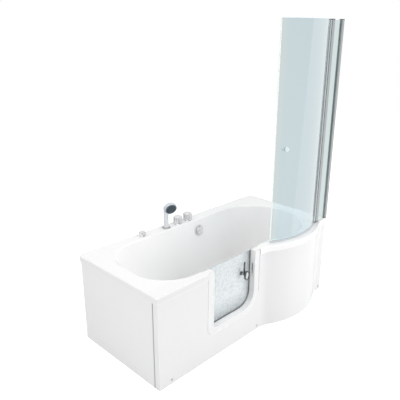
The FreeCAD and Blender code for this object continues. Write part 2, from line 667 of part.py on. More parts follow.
# Base board, rails and screw feet under the basin
board = box("board", ("board_left", "board_front", "board_low"),
            ("board_right - board_left", "board_back - board_front", "board_thickness"))
board_hole = rod("board_hole", ("overflow_place", "waste_line", "board_low - beyond"),
                 "waste_body + board_hole_gap", "board_thickness + 2 * beyond")
piece("base_board", cut("board_cut", board, board_hole))
FEET = ("foot_first", "foot_middle", "foot_last")
for label, line in (("front_rail", "rail_front"), ("back_rail", "rail_back")):
    tube = box(f"{label}_tube", ("rail_left", line, "rail_low"),
               ("rail_right - rail_left", "rail_size", "rail_size"))
    room = box(f"{label}_room", ("rail_left - beyond", f"{line} + rail_wall", "rail_low + rail_wall"),
               ("rail_right - rail_left + 2 * beyond", "rail_size - 2 * rail_wall",
                "rail_size - 2 * rail_wall"))
    holes = [
        rod(f"{label}_{x}_hole", (x, f"{line} + rail_size / 2", "rail_low - rail_wall"),
            "rod_radius + slip_gap", "3 * rail_wall")
        for x in FEET
    ]
    piece(label, cut(f"{label}_cut", tube, room, *holes))
cross = []
for x in ("cross_first", "cross_middle", "cross_last"):
    start = "rail_front + rail_size"
    length = f"rail_back - ({start})"
    tube = box(f"{x}_tube", (x, start, "rail_low"), ("rail_size", length, "rail_size"))
    room = box(f"{x}_room", (f"{x} + rail_wall", f"{start} - beyond", "rail_low + rail_wall"),
               ("rail_size - 2 * rail_wall", f"{length} + 2 * beyond", "rail_size - 2 * rail_wall"))
    cross.append(cut(f"{x}_cut", tube, room))
piece("cross_rails", group("cross", *cross))
rods = []
nuts = []
pads = []
for x in FEET:
    for line in ("rail_front", "rail_back"):
        tag = f"{x}_{line}"
        y = f"{line} + rail_size / 2"
        rods.append(rod(f"{tag}_rod", (x, y, "foot_seat"), "rod_radius",
                        "rail_low + rail_size - rod_top_drop - foot_seat"))
        nut = hexagon(f"{tag}_nut", (x, y, "rail_low - nut_height"), "nut_radius", "nut_height")
        bore = rod(f"{tag}_bore", (x, y, "rail_low - nut_height - beyond"), "rod_radius + running_gap",
                   "nut_height + 2 * beyond")
        nuts.append(cut(f"{tag}_nut_cut", nut, bore))
        pads.append(turned(f"{tag}_pad", [
            ("0", "0"), ("foot_radius", "0"), ("foot_radius", "foot_edge"),
            ("rod_radius + foot_neck", "foot_height"), ("rod_radius + slip_gap", "foot_height"),
            ("rod_radius + slip_gap", "foot_seat"), ("0", "foot_seat")], (x, y, 0)))
piece("foot_rods", group("foot_rods_all", *rods))
piece("foot_nuts", group("foot_nuts_all", *nuts))
piece("foot_pads", group("foot_pads_all", *pads))

# Door surround: a flange over the panel edge and a reveal through the wall
flange_full = doorway_body("flange_full", "flange_width", "bath_height", "flange_recess",
                           "flange_thickness")
reveal_full = doorway_body("reveal_full", "frame_wall", "bath_height", "flange_recess",
                           "inner_face - flange_recess")
doorway_room = doorway_body("doorway_room", "0", "above", "-beyond", "inner_face + 2 * beyond")
surround = cut("surround", fuse("surround_full", flange_full, reveal_full), doorway_room)
flange_front = num(deep("flange_recess"))
surround_soft = rounded("surround_soft", surround, "flange_round",
                        lambda e: near(e.BoundBox.YLength, 0) and near(e.CenterOfMass.y, flange_front)
                        and not at_height(e, num("bath_height")))
KEEPER_AT = ("bar_front - keeper_side", "slot_low - keeper_end")
KEEPER_SIZE = ("latch_bar_thickness + 2 * keeper_side", "slot_height + 2 * keeper_end")
bar_slot = box("bar_slot", ("door_right - joint_lap", "bar_front - free_gap", "slot_low"),
               ("frame_wall + 2 * joint_lap", "slot_depth", "slot_height"))
keeper_bed = box("keeper_bed", ("door_right - joint_lap", *KEEPER_AT),
                 ("keeper_thickness + joint_lap", *KEEPER_SIZE))
piece("door_frame", cut("door_frame_cut", surround_soft, bar_slot, keeper_bed))
keeper_plate = box("keeper_plate", ("door_right", *KEEPER_AT), ("keeper_thickness", *KEEPER_SIZE))
keeper_slot = box("keeper_slot", ("door_right - joint_lap", "bar_front - free_gap", "slot_low"),
                  ("keeper_thickness + 2 * joint_lap", "slot_depth", "slot_height"))
piece("latch_keeper", cut("latch_keeper_cut", keeper_plate, keeper_slot))

# Door seal around three sides of the doorway
seal_full = doorway_body("seal_full", "seal_outside", "door_top", "inner_face", "seal_thickness")
seal_room = doorway_body("seal_room", "-seal_inside", "above", "inner_face - beyond",
                         "seal_thickness + 2 * beyond")
piece("door_seal", cut("door_seal_cut", seal_full, seal_room))

# Door glass with its hinges
THROUGH_GLASS = "door_glass + 2 * joint_lap"
glass_sheet = doorway_body("glass_sheet", "glass_overlap", "door_top", "glass_front", "door_glass")
glass_holes = [rod("bush_hole", ("latch_place", "glass_front - joint_lap", "latch_height"),
                   "latch_bush + slip_gap", THROUGH_GLASS, "y")]
bolts = []
for level in ("hinge_low", "hinge_high"):
    for side, mark in (("below", "-"), ("above", "+")):
        tag = f"{level}_{side}"
        z = f"{level} {mark} leaf_bolt_spread"
        glass_holes.append(rod(f"{tag}_hole", ("bolt_line", "glass_front - joint_lap", z),
                               "leaf_bolt_radius + slip_gap", THROUGH_GLASS, "y"))
        bolts.append(turned(f"{tag}_bolt", [
            ("0", "0"), ("leaf_bolt_radius + 2", "0"), ("leaf_bolt_radius + 2", "bolt_head / 2"),
            ("leaf_bolt_radius", "bolt_head"), ("leaf_bolt_radius", "bolt_end"), ("0", "bolt_end")],
            ("bolt_line", "glass_front - bolt_head", z), Y_AXIS))
piece("door_glass", cut("door_glass_cut", glass_sheet, *glass_holes))
piece("hinge_bolts", group("hinge_bolts_all", *bolts))


def door_hinge(label, level):
    """A leaf on the glass, a two-eared bracket on the bulkhead and the pin through both."""
    axis = ("hinge_line", "hinge_depth")
    pin_bore = "hinge_pin_radius + running_gap"
    low = f"{level} - bracket_height / 2"
    leaf_low = f"{level} - leaf_height / 2"
    wide = box(f"{label}_leaf_wide", ("hinge_line + glass_overlap", "glass_back", f"{level} - leaf_height"),
               ("leaf_length - glass_overlap", "leaf_thickness", "leaf_height * 2"))
    neck = box(f"{label}_leaf_neck", ("hinge_line", "glass_back", leaf_low),
               ("glass_overlap + joint_lap", "leaf_thickness", "leaf_height"))
    barrel = rod(f"{label}_leaf_barrel", (*axis, leaf_low), "hinge_barrel", "leaf_height")
    leaf_bore = rod(f"{label}_leaf_bore", (*axis, f"{leaf_low} - beyond"), pin_bore,
                    "leaf_height + 2 * beyond")
    taps = [
        rod(f"{label}_leaf_tap_{side}",
            ("bolt_line", "glass_back - joint_lap", f"{level} {mark} leaf_bolt_spread"),
            "leaf_bolt_radius + running_gap", "tap_depth + joint_lap", "y")
        for side, mark in (("below", "-"), ("above", "+"))
    ]
    leaf = fuse(f"{label}_leaf", wide, neck, barrel)
    piece(f"{label}_hinge_leaf", cut(f"{label}_leaf_cut", leaf, leaf_bore, *taps))
    parts = [box(f"{label}_bracket_plate", ("hinge_line - bracket_past_pin", "inner_face", low),
                 ("bracket_width", "bracket_plate", "bracket_height"))]
    ear_height = "(bracket_height - leaf_height) / 2 - slip_gap"
    for end, start in (("foot", low), ("head", f"{level} + leaf_height / 2 + slip_gap")):
        parts.append(rod(f"{label}_{end}_ear", (*axis, start), "hinge_barrel", ear_height))
        parts.append(box(f"{label}_{end}_web", ("hinge_line - hinge_barrel", "inner_face", start),
                         ("2 * hinge_barrel", "hinge_depth - inner_face", ear_height)))
    bracket_bore = rod(f"{label}_bracket_bore", (*axis, f"{low} - beyond"), pin_bore,
                       "bracket_height + 2 * beyond")
    bracket = fuse(f"{label}_bracket", *parts)
    piece(f"{label}_hinge_bracket", cut(f"{label}_bracket_cut", bracket, bracket_bore))
    return rod(f"{label}_hinge_pin", (*axis, low), "hinge_pin_radius", "bracket_height")


pins = [door_hinge("lower", "hinge_low"), door_hinge("upper", "hinge_high")]
piece("hinge_pins", group("hinge_pins_all", *pins))

# Latch: bush in the glass, spindle, oval outer lever with a dished face, latch bar, inner lever
# A rounded end is kept a little short of a half circle
BAR_ROUND = "bar_half + 0.06 * latch_bar_width"
BUSH_RIM = "latch_bush + 1.6 * bush_flange"
piece("latch_bush", turned("latch_bush_body", [
    ("spindle_bore", "-bush_flange"), (BUSH_RIM, "-bush_flange"), (BUSH_RIM, "0"), ("latch_bush", "0"),
    ("latch_bush", "door_glass"), (BUSH_RIM, "door_glass"), (BUSH_RIM, "door_glass + bush_flange"),
    ("spindle_bore", "door_glass + bush_flange")], ("latch_place", "glass_front", "latch_height"), Y_AXIS))
piece("latch_spindle", rod("spindle_rod", ("latch_place", "spindle_start", "latch_height"), "spindle_radius",
                           "spindle_end - spindle_start", "y"))


def lever_oval(name, half, thickness, front):
    """An upright oval plate around the latch's axis from a front line backward."""
    end_round = f"1.02 * ({half})"
    side_round = "2 * lever_width"
    return prism(name, [
        (half, "-lever_side", end_round), (half, "lever_side", side_round),
        (f"-({half})", "lever_side", end_round), (f"-({half})", "-lever_side", side_round)],
        thickness, ("latch_place", f"{front} + {thickness}", "latch_height"), UPRIGHT)


lever_plate = lever_oval("lever_plate", "lever_half", "lever_thickness", "lever_front")
lever_dish = lever_oval("lever_dish", "lever_half - lever_rim", "2 * lever_dish", "lever_front - lever_dish")
lever_hub = rod("lever_hub", ("latch_place", "hub_start", "latch_height"), "lever_hub",
                "bar_front - hub_start - slip_gap", "y")
lever_bore = rod("lever_bore", ("latch_place", "spindle_start", "latch_height"), "spindle_bore",
                 "bar_front - spindle_start", "y")
lever_full = fuse("door_lever_full", lever_plate, lever_hub)
piece("door_lever", cut("door_lever_cut", lever_full, lever_dish, lever_bore))
bar_plate = prism("bar_plate", [
    ("bar_half", "0", BAR_ROUND), ("bar_half", "bar_length - latch_bar_bevel"),
    ("bar_half - latch_bar_bevel", "bar_length"), ("latch_bar_bevel - bar_half", "bar_length"),
    ("-bar_half", "bar_length - latch_bar_bevel"), ("-bar_half", "0")],
    "latch_bar_thickness", ("latch_place", "bar_front + latch_bar_thickness", "latch_height"), UPRIGHT)
bar_bore = rod("bar_bore", ("latch_place", "bar_front - joint_lap", "latch_height"), "spindle_bore",
               "latch_bar_thickness + 2 * joint_lap", "y")
piece("latch_bar", cut("latch_bar_cut", bar_plate, bar_bore))
inner_hub = rod("inner_hub", ("latch_place", "inner_start", "latch_height"), "lever_hub", "inner_hub_length",
                "y")
inner_wing = box("inner_wing",
                 ("latch_place - inner_wing_width / 2", "inner_start + lever_hub",
                  "latch_height - inner_wing_reach"),
                 ("inner_wing_width", "inner_wing_depth", "2 * inner_wing_reach"))
inner_bore = rod("inner_bore", ("latch_place", "glass_back", "latch_height"), "spindle_bore",
                 "spindle_end - glass_back", "y")
piece("inner_lever", cut("inner_lever_cut", fuse("inner_full", inner_hub, inner_wing), inner_bore))

# Shower screen: fixed side
wall_profile = prism("wall_profile_body", [
    ("-wall_profile_depth", "-profile_half"), ("0", "-profile_half"), ("0", "profile_half"),
    ("-wall_profile_depth", "profile_half"), ("-wall_profile_depth", "slot_half"),
    ("-profile_base", "slot_half"), ("-profile_base", "-slot_half"), ("-wall_profile_depth", "-slot_half")],
    "between_caps", ("bath_length", "pivot_y", "bath_height + end_cap"))
SCREEN_MIDDLE = "bath_height + screen_height / 2"
wall_holes = [
    rod(f"wall_hole_{i}", ("bath_length - profile_base - joint_lap", "pivot_y",
                           f"{SCREEN_MIDDLE} {mark} wall_hole_spacing / 2"),
        "wall_hole_radius", "profile_base + 2 * joint_lap", "x")
    for i, mark in enumerate("-+")
]
piece("wall_profile", cut("wall_profile_cut", wall_profile, *wall_holes))
post_full = prism("post_full", [
    ("post_start", "-profile_half"), ("post_end", "-profile_half"), ("post_end", "-slot_half"),
    ("post_bed", "-slot_half"), ("post_bed", "slot_half"), ("post_end", "slot_half"),
    ("post_end", "profile_half"), ("post_start", "profile_half")],
    "between_caps", ("pivot_x", "pivot_y", "bath_height + end_cap"))
post_cup = rod("post_cup", ("pivot_x", "pivot_y", "bath_height"), "knuckle_radius + free_gap",
               "screen_height")
piece("hinge_post", cut("hinge_post_cut", post_full, post_cup))
piece("fixed_pane", box("fixed_pane_box",
                        ("pane_left", "pivot_y - screen_glass / 2", "bath_height + end_cap"),
                        ("pane_right - pane_left", "screen_glass", "between_caps")))
end_caps = []
for label, low in (("low", "bath_height"), ("top", "screen_top - end_cap")):
    end_caps.append(box(f"{label}_wall_cap",
                        ("bath_length - wall_profile_depth", "pivot_y - profile_half", low),
                        ("wall_profile_depth", "profile_width", "end_cap")))
    post_cap = box(f"{label}_post_cap", ("pivot_x", "pivot_y - profile_half", low),
                   ("post_end", "profile_width", "end_cap"))
    knuckle_cap = rod(f"{label}_knuckle_cap", ("pivot_x", "pivot_y", low), "profile_half", "end_cap")
    end_caps.append(fuse(f"{label}_hinge_cap", post_cap, knuckle_cap))
piece("screen_end_caps", group("end_caps", *end_caps))
pivot_pins = [
    rod(f"{label}_pivot_pin", ("pivot_x", "pivot_y", low), "pivot_pin_radius", "pivot_pin_length")
    for label, low in (("low", "bath_height + end_cap"), ("top", "screen_top - end_cap - pivot_pin_length"))
]
piece("pivot_pins", group("pivot_pins_all", *pivot_pins))

# Shower screen: swinging side
arm_turn = FreeCAD.Rotation(Z_AXIS, num("arm_angle"))
swing_at = ("pivot_x", "pivot_y", "swing_low")
arm = prism("arm", [
    ("-arm_length", "-arm_half"), ("0", "-arm_half"), ("0", "arm_half"), ("-arm_length", "arm_half"),
    ("-arm_length", "arm_slot_half"), ("-arm_bed", "arm_slot_half"), ("-arm_bed", "-arm_slot_half"),
    ("-arm_length", "-arm_slot_half")], "swing_height", swing_at, arm_turn)
knuckle = rod("knuckle", swing_at, "knuckle_radius", "swing_height")
knuckle_bore = rod("knuckle_bore", ("pivot_x", "pivot_y", "bath_height"), "pivot_pin_radius + running_gap",
                   "screen_height")
piece("swing_profile", cut("swing_profile_cut", fuse("swing_full", arm, knuckle), knuckle_bore))


def arc_sheet(name, start, end, thickness, low, height):
    """A curved sheet that follows the screen line between two angles from straight ahead."""
    outer = f"screen_radius + ({thickness}) / 2"
    inner = f"screen_radius - ({thickness}) / 2"
    return prism(name, [
        (f"({outer}) * sin({start})", f"-({outer}) * cos({start})"),
        (f"({outer}) * sin({end})", f"-({outer}) * cos({end})", outer),
        (f"({inner}) * sin({end})", f"-({inner}) * cos({end})"),
        (f"({inner}) * sin({start})", f"-({inner}) * cos({start})", f"-({inner})"),
    ], height, ("bulge_centre", "screen_depth", low))


def angle_of(length):
    """The angle that a length takes up along the screen line, in degrees."""
    return f"{math.degrees(1):.6f} * ({length}) / (screen_radius)"


pane = arc_sheet("curved_pane", "-free_angle", f"pivot_angle - {angle_of('knuckle_radius + arm_web')}",
                 "screen_glass", "glass_low", "glass_height")
knob_at = ("knob_x", "knob_y", "bath_height + knob_height")
turn = math.radians(num("knob_angle"))
OUTWARD = FreeCAD.Vector(-math.sin(turn), -math.cos(turn), 0)
knob_hole = turned("knob_hole", rectangle("0", "-knob_depth", "stud_radius + slip_gap", "knob_depth"),
                   knob_at, OUTWARD)
piece("screen_glass", cut("screen_glass_cut", pane, knob_hole))
piece("screen_seal", arc_sheet("screen_seal_body", "-free_angle",
                               f"pivot_angle - {angle_of('arm_length + screen_seal_end')}",
                               "screen_glass + 2 * screen_seal_wall", "bath_height + screen_lift",
                               "screen_seal_height"))
for label, direction in (("outer", OUTWARD), ("inner", OUTWARD * -1)):
    piece(f"screen_knob_{label}", turned(f"screen_knob_{label}_body", [
        ("stud_bore", "knob_foot"), ("knob_radius * 0.67", "knob_foot"),
        ("knob_radius * 0.6", "0.45 * knob_depth"), ("knob_radius", "0.65 * knob_depth"),
        ("knob_radius", "knob_depth"), ("knob_radius - knob_crown", "knob_depth + knob_crown"),
        ("0", "knob_depth + knob_crown"), ("0", "stud_depth"), ("stud_bore", "stud_depth")],
        knob_at, direction))
STUD_END = "stud_depth - free_gap"
piece("knob_stud", turned("knob_stud_body", rectangle("0", f"-({STUD_END})", "stud_radius", STUD_END),
                          knob_at, OUTWARD))


# Deck valves with their knobs
def valve(label, x, knob_radius, knob_height):
    """A valve body and its fluted knob; gives the nut under the deck and the ring on it."""
    at = (x, "deck_line", "bath_height")
    piece(f"{label}_valve", turned(f"{label}_valve_body", [
        ("tail_bore", "-valve_depth - tail_length"), ("tail_radius", "-valve_depth - tail_length"),
        ("tail_radius", "-valve_depth"), ("valve_radius", "-valve_depth"), ("valve_radius", "valve_top"),
        ("valve_stem", "valve_top"), ("valve_stem", "spindle_top"), ("0", "spindle_top"),
        ("0", "-valve_depth"), ("tail_bore", "-valve_depth")], at))
    bore = "valve_stem + running_gap"
    room = "valve_radius + knob_lift"
    knob = turned(f"{label}_knob_body", [
        (room, "knob_low"), (f"{knob_radius} - 3", "knob_low"), (f"{knob_radius} - 1", "knob_low + 2"),
        (knob_radius, f"{knob_height} - 8"), (f"{knob_radius} - 6", f"{knob_height} - 1"), ("0", knob_height),
        ("0", "spindle_top + knob_lift"), (bore, "spindle_top + knob_lift"), (bore, "valve_top + knob_lift"),
        (room, "valve_top + knob_lift")], at)
    count = 8
    reach = f"({knob_radius} + flute_reach)"
    flutes = []
    for i in range(count):
        angle = 360 / count * (i + 0.5)
        spot = (f"{x} + {reach} * cos({angle})", f"deck_line + {reach} * sin({angle})",
                "bath_height + knob_low + flute_rise")
        flutes.append(rod(f"{label}_flute_{i}", spot, "flute_radius", knob_height))
    piece(f"{label}_knob", cut(f"{label}_knob_cut", knob, *flutes))
    ring = turned(f"{label}_ring", [
        ("valve_radius + running_gap", "0"), (f"{knob_radius} - 2", "0"), (f"{knob_radius} - 2", "2"),
        (f"{knob_radius} - 6", "escutcheon_height"), ("valve_radius + running_gap", "escutcheon_height")], at)
    return deck_nut(label, x, "valve_radius"), ring


def deck_nut(label, x, inside):
    """A six-sided nut that holds a fitting from below the deck."""
    nut = hexagon(f"{label}_nut_blank", (x, "deck_line", "deck_nut_low"), f"{inside} + deck_nut_wall",
                  "deck_nut_height")
    bore = rod(f"{label}_nut_bore", (x, "deck_line", "deck_nut_low - beyond"), f"{inside} + running_gap",
               "deck_nut_height + 2 * beyond")
    return cut(f"{label}_nut", nut, bore)


VALVES = (
    ("hot", "hot_place", "tap_knob_radius", "tap_knob_height"),
    ("cold", "cold_place", "tap_knob_radius", "tap_knob_height"),
    ("diverter", "diverter_place", "diverter_knob_radius", "diverter_knob_height"),
)
deck_nuts = [deck_nut("guide", "handset_place", "guide_tube")]
rings = []
for label, x, size, height in VALVES:
    nut, ring = valve(label, x, size, height)
    deck_nuts.append(nut)
    rings.append(ring)
piece("escutcheons", group("escutcheons_all", *rings))
piece("deck_back_nuts", group("deck_nuts_all", *deck_nuts))

# Hand shower in its deck guide
handset_at = ("handset_place", "deck_line", "bath_height")
piece("handset_guide", turned("guide_body", [
    ("guide_bore", "-guide_depth"), ("guide_tube", "-guide_depth"), ("guide_tube", "0"),
    ("guide_radius", "0"), ("guide_radius", "3"), ("handle_radius + 5", "guide_height - 2"),
    ("handle_radius + 4", "guide_height"),
    ("guide_bore", "guide_height")], handset_at))
handle = turned("handle", [
    ("0", "5 - guide_depth"), ("handle_radius", "5 - guide_depth"), ("handle_radius", "collar_low"),
    ("handle_radius + handle_collar", "collar_low"), ("handle_radius + handle_collar", "guide_height + 4"),
    ("handle_radius", "guide_height + 7"), ("handle_top", "handle_height"),
    ("0", "handle_height + handle_top", "handle_top")], handset_at)
tilt = math.radians(num("head_tilt"))
aside = math.radians(num("head_turn"))
HEAD_WAY = FreeCAD.Vector(-math.sin(aside) * math.cos(tilt), -math.cos(aside) * math.cos(tilt),
                          -math.sin(tilt))
head_at = ("handset_place - head_forward * sin(head_turn)", "deck_line - head_forward * cos(head_turn)",
           "bath_height + head_height")
FACE_BED = "face_radius + slip_gap"
head = turned("head", [
    ("0", "-head_depth"), ("head_radius - head_edge", "-head_depth"),
    ("head_radius", "head_edge - head_depth", "head_edge"), ("head_radius", "face_depth - 1"),
    (FACE_BED, "face_depth - 1"), (FACE_BED, "0"), ("0", "0")], head_at, HEAD_WAY)
neck_at = ("handset_place", "deck_line", "bath_height + handle_height")
NECK_WAY = point(*head_at) - HEAD_WAY * (num("head_depth") / 2) - point(*neck_at)
NECK_LENGTH = f"{NECK_WAY.Length:.4f}"
neck = turned("neck", [
    ("0", "0"), ("handle_top - neck_inset", "0"), ("handle_top - neck_inset + neck_flare", NECK_LENGTH),
    ("0", NECK_LENGTH)], neck_at, NECK_WAY)
face_room = turned("face_room", rectangle("0", "0", FACE_BED, "head_radius"), head_at, HEAD_WAY)
piece("handset_shell", cut("handset_cut", fuse("handset_full", handle, neck, head), face_room))
piece("handset_face", turned("face_body", [
    ("0", "0"), ("face_radius", "0"), ("face_radius", "face_depth - 1"),
    ("face_radius - 3", "face_depth + 1"), ("0", "face_depth + 2")], head_at, HEAD_WAY))

# Overflow in the back wall
STEM_BORE = "overflow_stem + running_gap"
piece("overflow_cover", turned("cover_body", [
    (STEM_BORE, "0"), ("overflow_radius", "0"), ("overflow_radius", "3"),
    ("overflow_radius - 4", "overflow_rim"), ("overflow_knob + 2", "overflow_rim"),
    ("overflow_knob + 1", "4"), (STEM_BORE, "4")], overflow_at, INTO_TUB))
piece("overflow_knob", turned("overflow_knob_body", [
    ("0", "-overflow_stem_length"), ("overflow_stem", "-overflow_stem_length"), ("overflow_stem", "5"),
    ("overflow_knob - 1", "5"), ("overflow_knob", "7"), ("overflow_knob - 2", "overflow_knob_depth - 4"),
    ("overflow_knob - 7", "overflow_knob_depth - 1"), ("0", "overflow_knob_depth")], overflow_at, INTO_TUB))
FLANGE_BACK = "-shell_wall - overflow_flange"
POT_BORE = "overflow_neck - overflow_wall"
pot = turned("pot", [
    (POT_BORE, "-overflow_depth"), (POT_BORE, "0"), ("overflow_neck", "0"), ("overflow_neck", "-shell_wall"),
    ("overflow_radius - 3", "-shell_wall"), ("overflow_radius - 3", FLANGE_BACK),
    ("overflow_pot", FLANGE_BACK), ("overflow_pot", "pot_back"), ("0", "pot_back"),
    ("0", "-overflow_depth")], overflow_at, INTO_TUB)
spigot = rod("spigot", ("overflow_place", "pipe_line", "socket_low"), "overflow_pipe + pipe_socket",
             "3 * pipe_grip")
spigot_bore = rod("spigot_bore", ("overflow_place", "pipe_line", "socket_low - joint_lap"),
                  "overflow_pipe + slip_gap", "pipe_grip + joint_lap")
spigot_way = rod("spigot_way", ("overflow_place", "pipe_line", "socket_low"), "overflow_pipe - pipe_wall",
                 "3 * pipe_grip")
piece("overflow_body", cut("overflow_body_cut", fuse("overflow_full", pot, spigot), spigot_bore, spigot_way))


def pipe_along(name, radius):
    """A round bar down behind the wall and forward to the waste."""
    top = point("overflow_place", "pipe_line", "pipe_top")
    bend_top = point("overflow_place", "pipe_line", "pipe_height + pipe_bend")
    bend_end = point("overflow_place", "pipe_line - pipe_bend", "pipe_height")
    end = point("overflow_place", "pipe_end", "pipe_height")
    hub = point("overflow_place", "pipe_line - pipe_bend", "pipe_height + pipe_bend")
    reach = num("pipe_bend") * math.sqrt(0.5)
    middle = hub + FreeCAD.Vector(0, reach, -reach)
    path = Part.Wire([
        Part.LineSegment(top, bend_top).toShape(),
        Part.Arc(bend_top, middle, bend_end).toShape(),
        Part.LineSegment(bend_end, end).toShape(),
    ])
    ring = Part.Wire(Part.Circle(top, Z_AXIS, num(radius)).toShape())
    bar = new("Part::Feature", name)
    bar.Shape = path.makePipeShell([ring], True, False)
    return bar


piece("overflow_pipe", cut("overflow_pipe_cut", pipe_along("pipe_outside", "overflow_pipe"),
                           pipe_along("pipe_inside", "overflow_pipe - pipe_wall")))

# Waste in the floor, trap below, lifting plug
waste_at = ("overflow_place", "waste_line", "floor_height")
FLANGE_TUBE = "waste_tube - running_gap"
flange_body = turned("flange_body", [
    ("waste_bore", "-waste_tube_length"), (FLANGE_TUBE, "-waste_tube_length"), (FLANGE_TUBE, "0"),
    ("waste_flange", "0"), ("waste_flange", "waste_rim / 3"), ("waste_flange - 4", "waste_rim"),
    ("waste_bore", "waste_rim")], waste_at)
stem_guide = turned("stem_guide",
                    rectangle("plug_stem + running_gap", "-stem_guide_low", "plug_stem + stem_guide_wall",
                              "stem_guide_height - stem_guide_low"), waste_at)
RIB_COUNT = 3
RIB_START = "(plug_stem + stem_guide_wall / 2)"
ribs = []
for i in range(RIB_COUNT):
    angle = 360 / RIB_COUNT * i
    spot = (f"overflow_place + {RIB_START} * cos({angle}) + guide_rib / 2 * sin({angle})",
            f"waste_line + {RIB_START} * sin({angle}) - guide_rib / 2 * cos({angle})",
            "floor_height - stem_guide_low")
    rib = box(f"rib_{i}", spot,
              (f"waste_bore + waste_tube_wall / 2 - {RIB_START}", "guide_rib", "stem_guide_height"))
    ribs.append(place(rib, *spot, turn=FreeCAD.Rotation(Z_AXIS, angle)))
piece("waste_flange", fuse("waste_flange_full", flange_body, stem_guide, *ribs))
BODY_BORE = "waste_tube + running_gap"
BODY_LOW = "waste_body_low - floor_height"
COLLAR_LOW = "-shell_wall - waste_collar_height"
tee = turned("tee", [
    (BODY_BORE, BODY_LOW), ("waste_body", BODY_LOW), ("waste_body", COLLAR_LOW),
    ("waste_body + waste_collar", COLLAR_LOW), ("waste_body + waste_collar", "-shell_wall"),
    (BODY_BORE, "-shell_wall")], waste_at)
ARM_START = "waste_line + waste_tube + 2 * joint_lap"
ARM_END = "waste_line + waste_body + side_arm_length"
side_arm = rod("side_arm", ("overflow_place", ARM_START, "pipe_height"), "overflow_pipe + pipe_socket",
               f"{ARM_END} - ({ARM_START})", "y")
side_bore = rod("side_bore", ("overflow_place", "pipe_end - joint_lap", "pipe_height"),
                "overflow_pipe + slip_gap", "pipe_grip + 2 * joint_lap", "y")
side_way = rod("side_way", ("overflow_place", "waste_line + waste_tube - 2 * joint_lap", "pipe_height"),
               "overflow_pipe - pipe_wall", "waste_body + side_arm_length", "y")
piece("waste_body", cut("waste_body_cut", fuse("waste_body_full", tee, side_arm), side_bore, side_way))
trap_at = ("overflow_place", "waste_line", "trap_lift")
LID_LOW = "trap_height - trap_lid"
LID_BORE = "waste_body + slip_gap"
cup = turned("cup", [
    ("0", "0"), ("trap_radius", "0"), ("trap_radius", "trap_height"), (LID_BORE, "trap_height"),
    (LID_BORE, LID_LOW), ("trap_bore", LID_LOW), ("trap_bore", "trap_wall"), ("0", "trap_wall")], trap_at)
outlet = rod("outlet", ("overflow_place", "outlet_start", "trap_middle"), "outlet_radius", "outlet_length",
             "y")
outlet_sleeve = rod("outlet_sleeve", ("overflow_place", "outlet_start", "trap_middle"),
                    "outlet_radius + outlet_step", "outlet_length - outlet_spigot", "y")
outlet_way = rod("outlet_way", ("overflow_place", "outlet_start - beyond", "trap_middle"),
                 "outlet_radius - outlet_wall", "outlet_length + 2 * beyond", "y")
cup_room = turned("cup_room", rectangle("0", "trap_wall", "trap_bore", LID_LOW), trap_at)
trap_full = fuse("trap_full", cup, outlet, outlet_sleeve)
piece("waste_trap", cut("waste_trap_cut", trap_full, outlet_way, cup_room))
PLUG_LOW = "waste_rim + free_gap"
piece("waste_plug", turned("plug_body", [
    ("0", "-plug_stem_length"), ("plug_stem", "-plug_stem_length"), ("plug_stem", PLUG_LOW),
    ("plug_radius", PLUG_LOW), ("plug_radius", "plug_crown / 2"), ("plug_radius - 8", "plug_crown - 2"),
    ("0", "plug_crown")], waste_at))

# Check every object, then write the pieces
doc.recompute()
faults = [thing.Name for thing in doc.Objects if "Invalid" in thing.State or "Error" in thing.State]
if faults:
    raise RuntimeError("objects with faults: " + ", ".join(faults))
os.makedirs("parts", exist_ok=True)
for label, thing in pieces.items():
    shape = thing.Shape
    if shape.isNull() or not shape.isValid() or not shape.Solids:
        raise RuntimeError("no valid solid: " + label)
    shape.exportStep(f"parts/{label}.step")
    print(label, len(shape.Solids), round(shape.Volume / 1000, 1))
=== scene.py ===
import json
import math

import bmesh
import bpy
from mathutils import Matrix, Vector

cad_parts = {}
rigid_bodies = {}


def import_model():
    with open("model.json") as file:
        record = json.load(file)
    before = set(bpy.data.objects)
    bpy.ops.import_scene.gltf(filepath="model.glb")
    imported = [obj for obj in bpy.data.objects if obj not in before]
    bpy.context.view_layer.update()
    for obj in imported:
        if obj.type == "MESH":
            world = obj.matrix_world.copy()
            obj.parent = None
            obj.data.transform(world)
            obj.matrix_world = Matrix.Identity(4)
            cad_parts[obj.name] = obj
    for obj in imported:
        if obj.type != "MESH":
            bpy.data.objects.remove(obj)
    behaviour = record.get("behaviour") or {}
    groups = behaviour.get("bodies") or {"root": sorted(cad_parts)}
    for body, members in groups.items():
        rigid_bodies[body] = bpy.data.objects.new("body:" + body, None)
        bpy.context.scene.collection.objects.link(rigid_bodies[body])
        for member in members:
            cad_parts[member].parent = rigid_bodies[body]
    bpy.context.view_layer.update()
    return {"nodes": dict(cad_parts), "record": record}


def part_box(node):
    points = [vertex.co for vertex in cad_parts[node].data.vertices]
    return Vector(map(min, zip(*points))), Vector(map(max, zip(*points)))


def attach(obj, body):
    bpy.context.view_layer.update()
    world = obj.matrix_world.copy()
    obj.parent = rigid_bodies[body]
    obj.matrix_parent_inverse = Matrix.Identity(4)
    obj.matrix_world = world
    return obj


# Walk-in shower bath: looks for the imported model. Lengths are metres, angles degrees.
for leftover in list(bpy.data.objects):
    bpy.data.objects.remove(leftover)
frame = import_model()
scene = bpy.context.scene

# Directions
ALONG = (1, 0, 0)
BACK = (0, 1, 0)
UP = (0, 0, 1)

# The photograph's camera
IMAGE_SIZE = 400
FOCAL_PIXELS = 489.01
SENSOR_WIDTH = 36.0
CAMERA_PLACE = (-2.26944, -2.06830, 1.93322)
CAMERA_AZIMUTH = -45.186
CAMERA_ELEVATION = 19.221
CAMERA_ROLL = 0.108

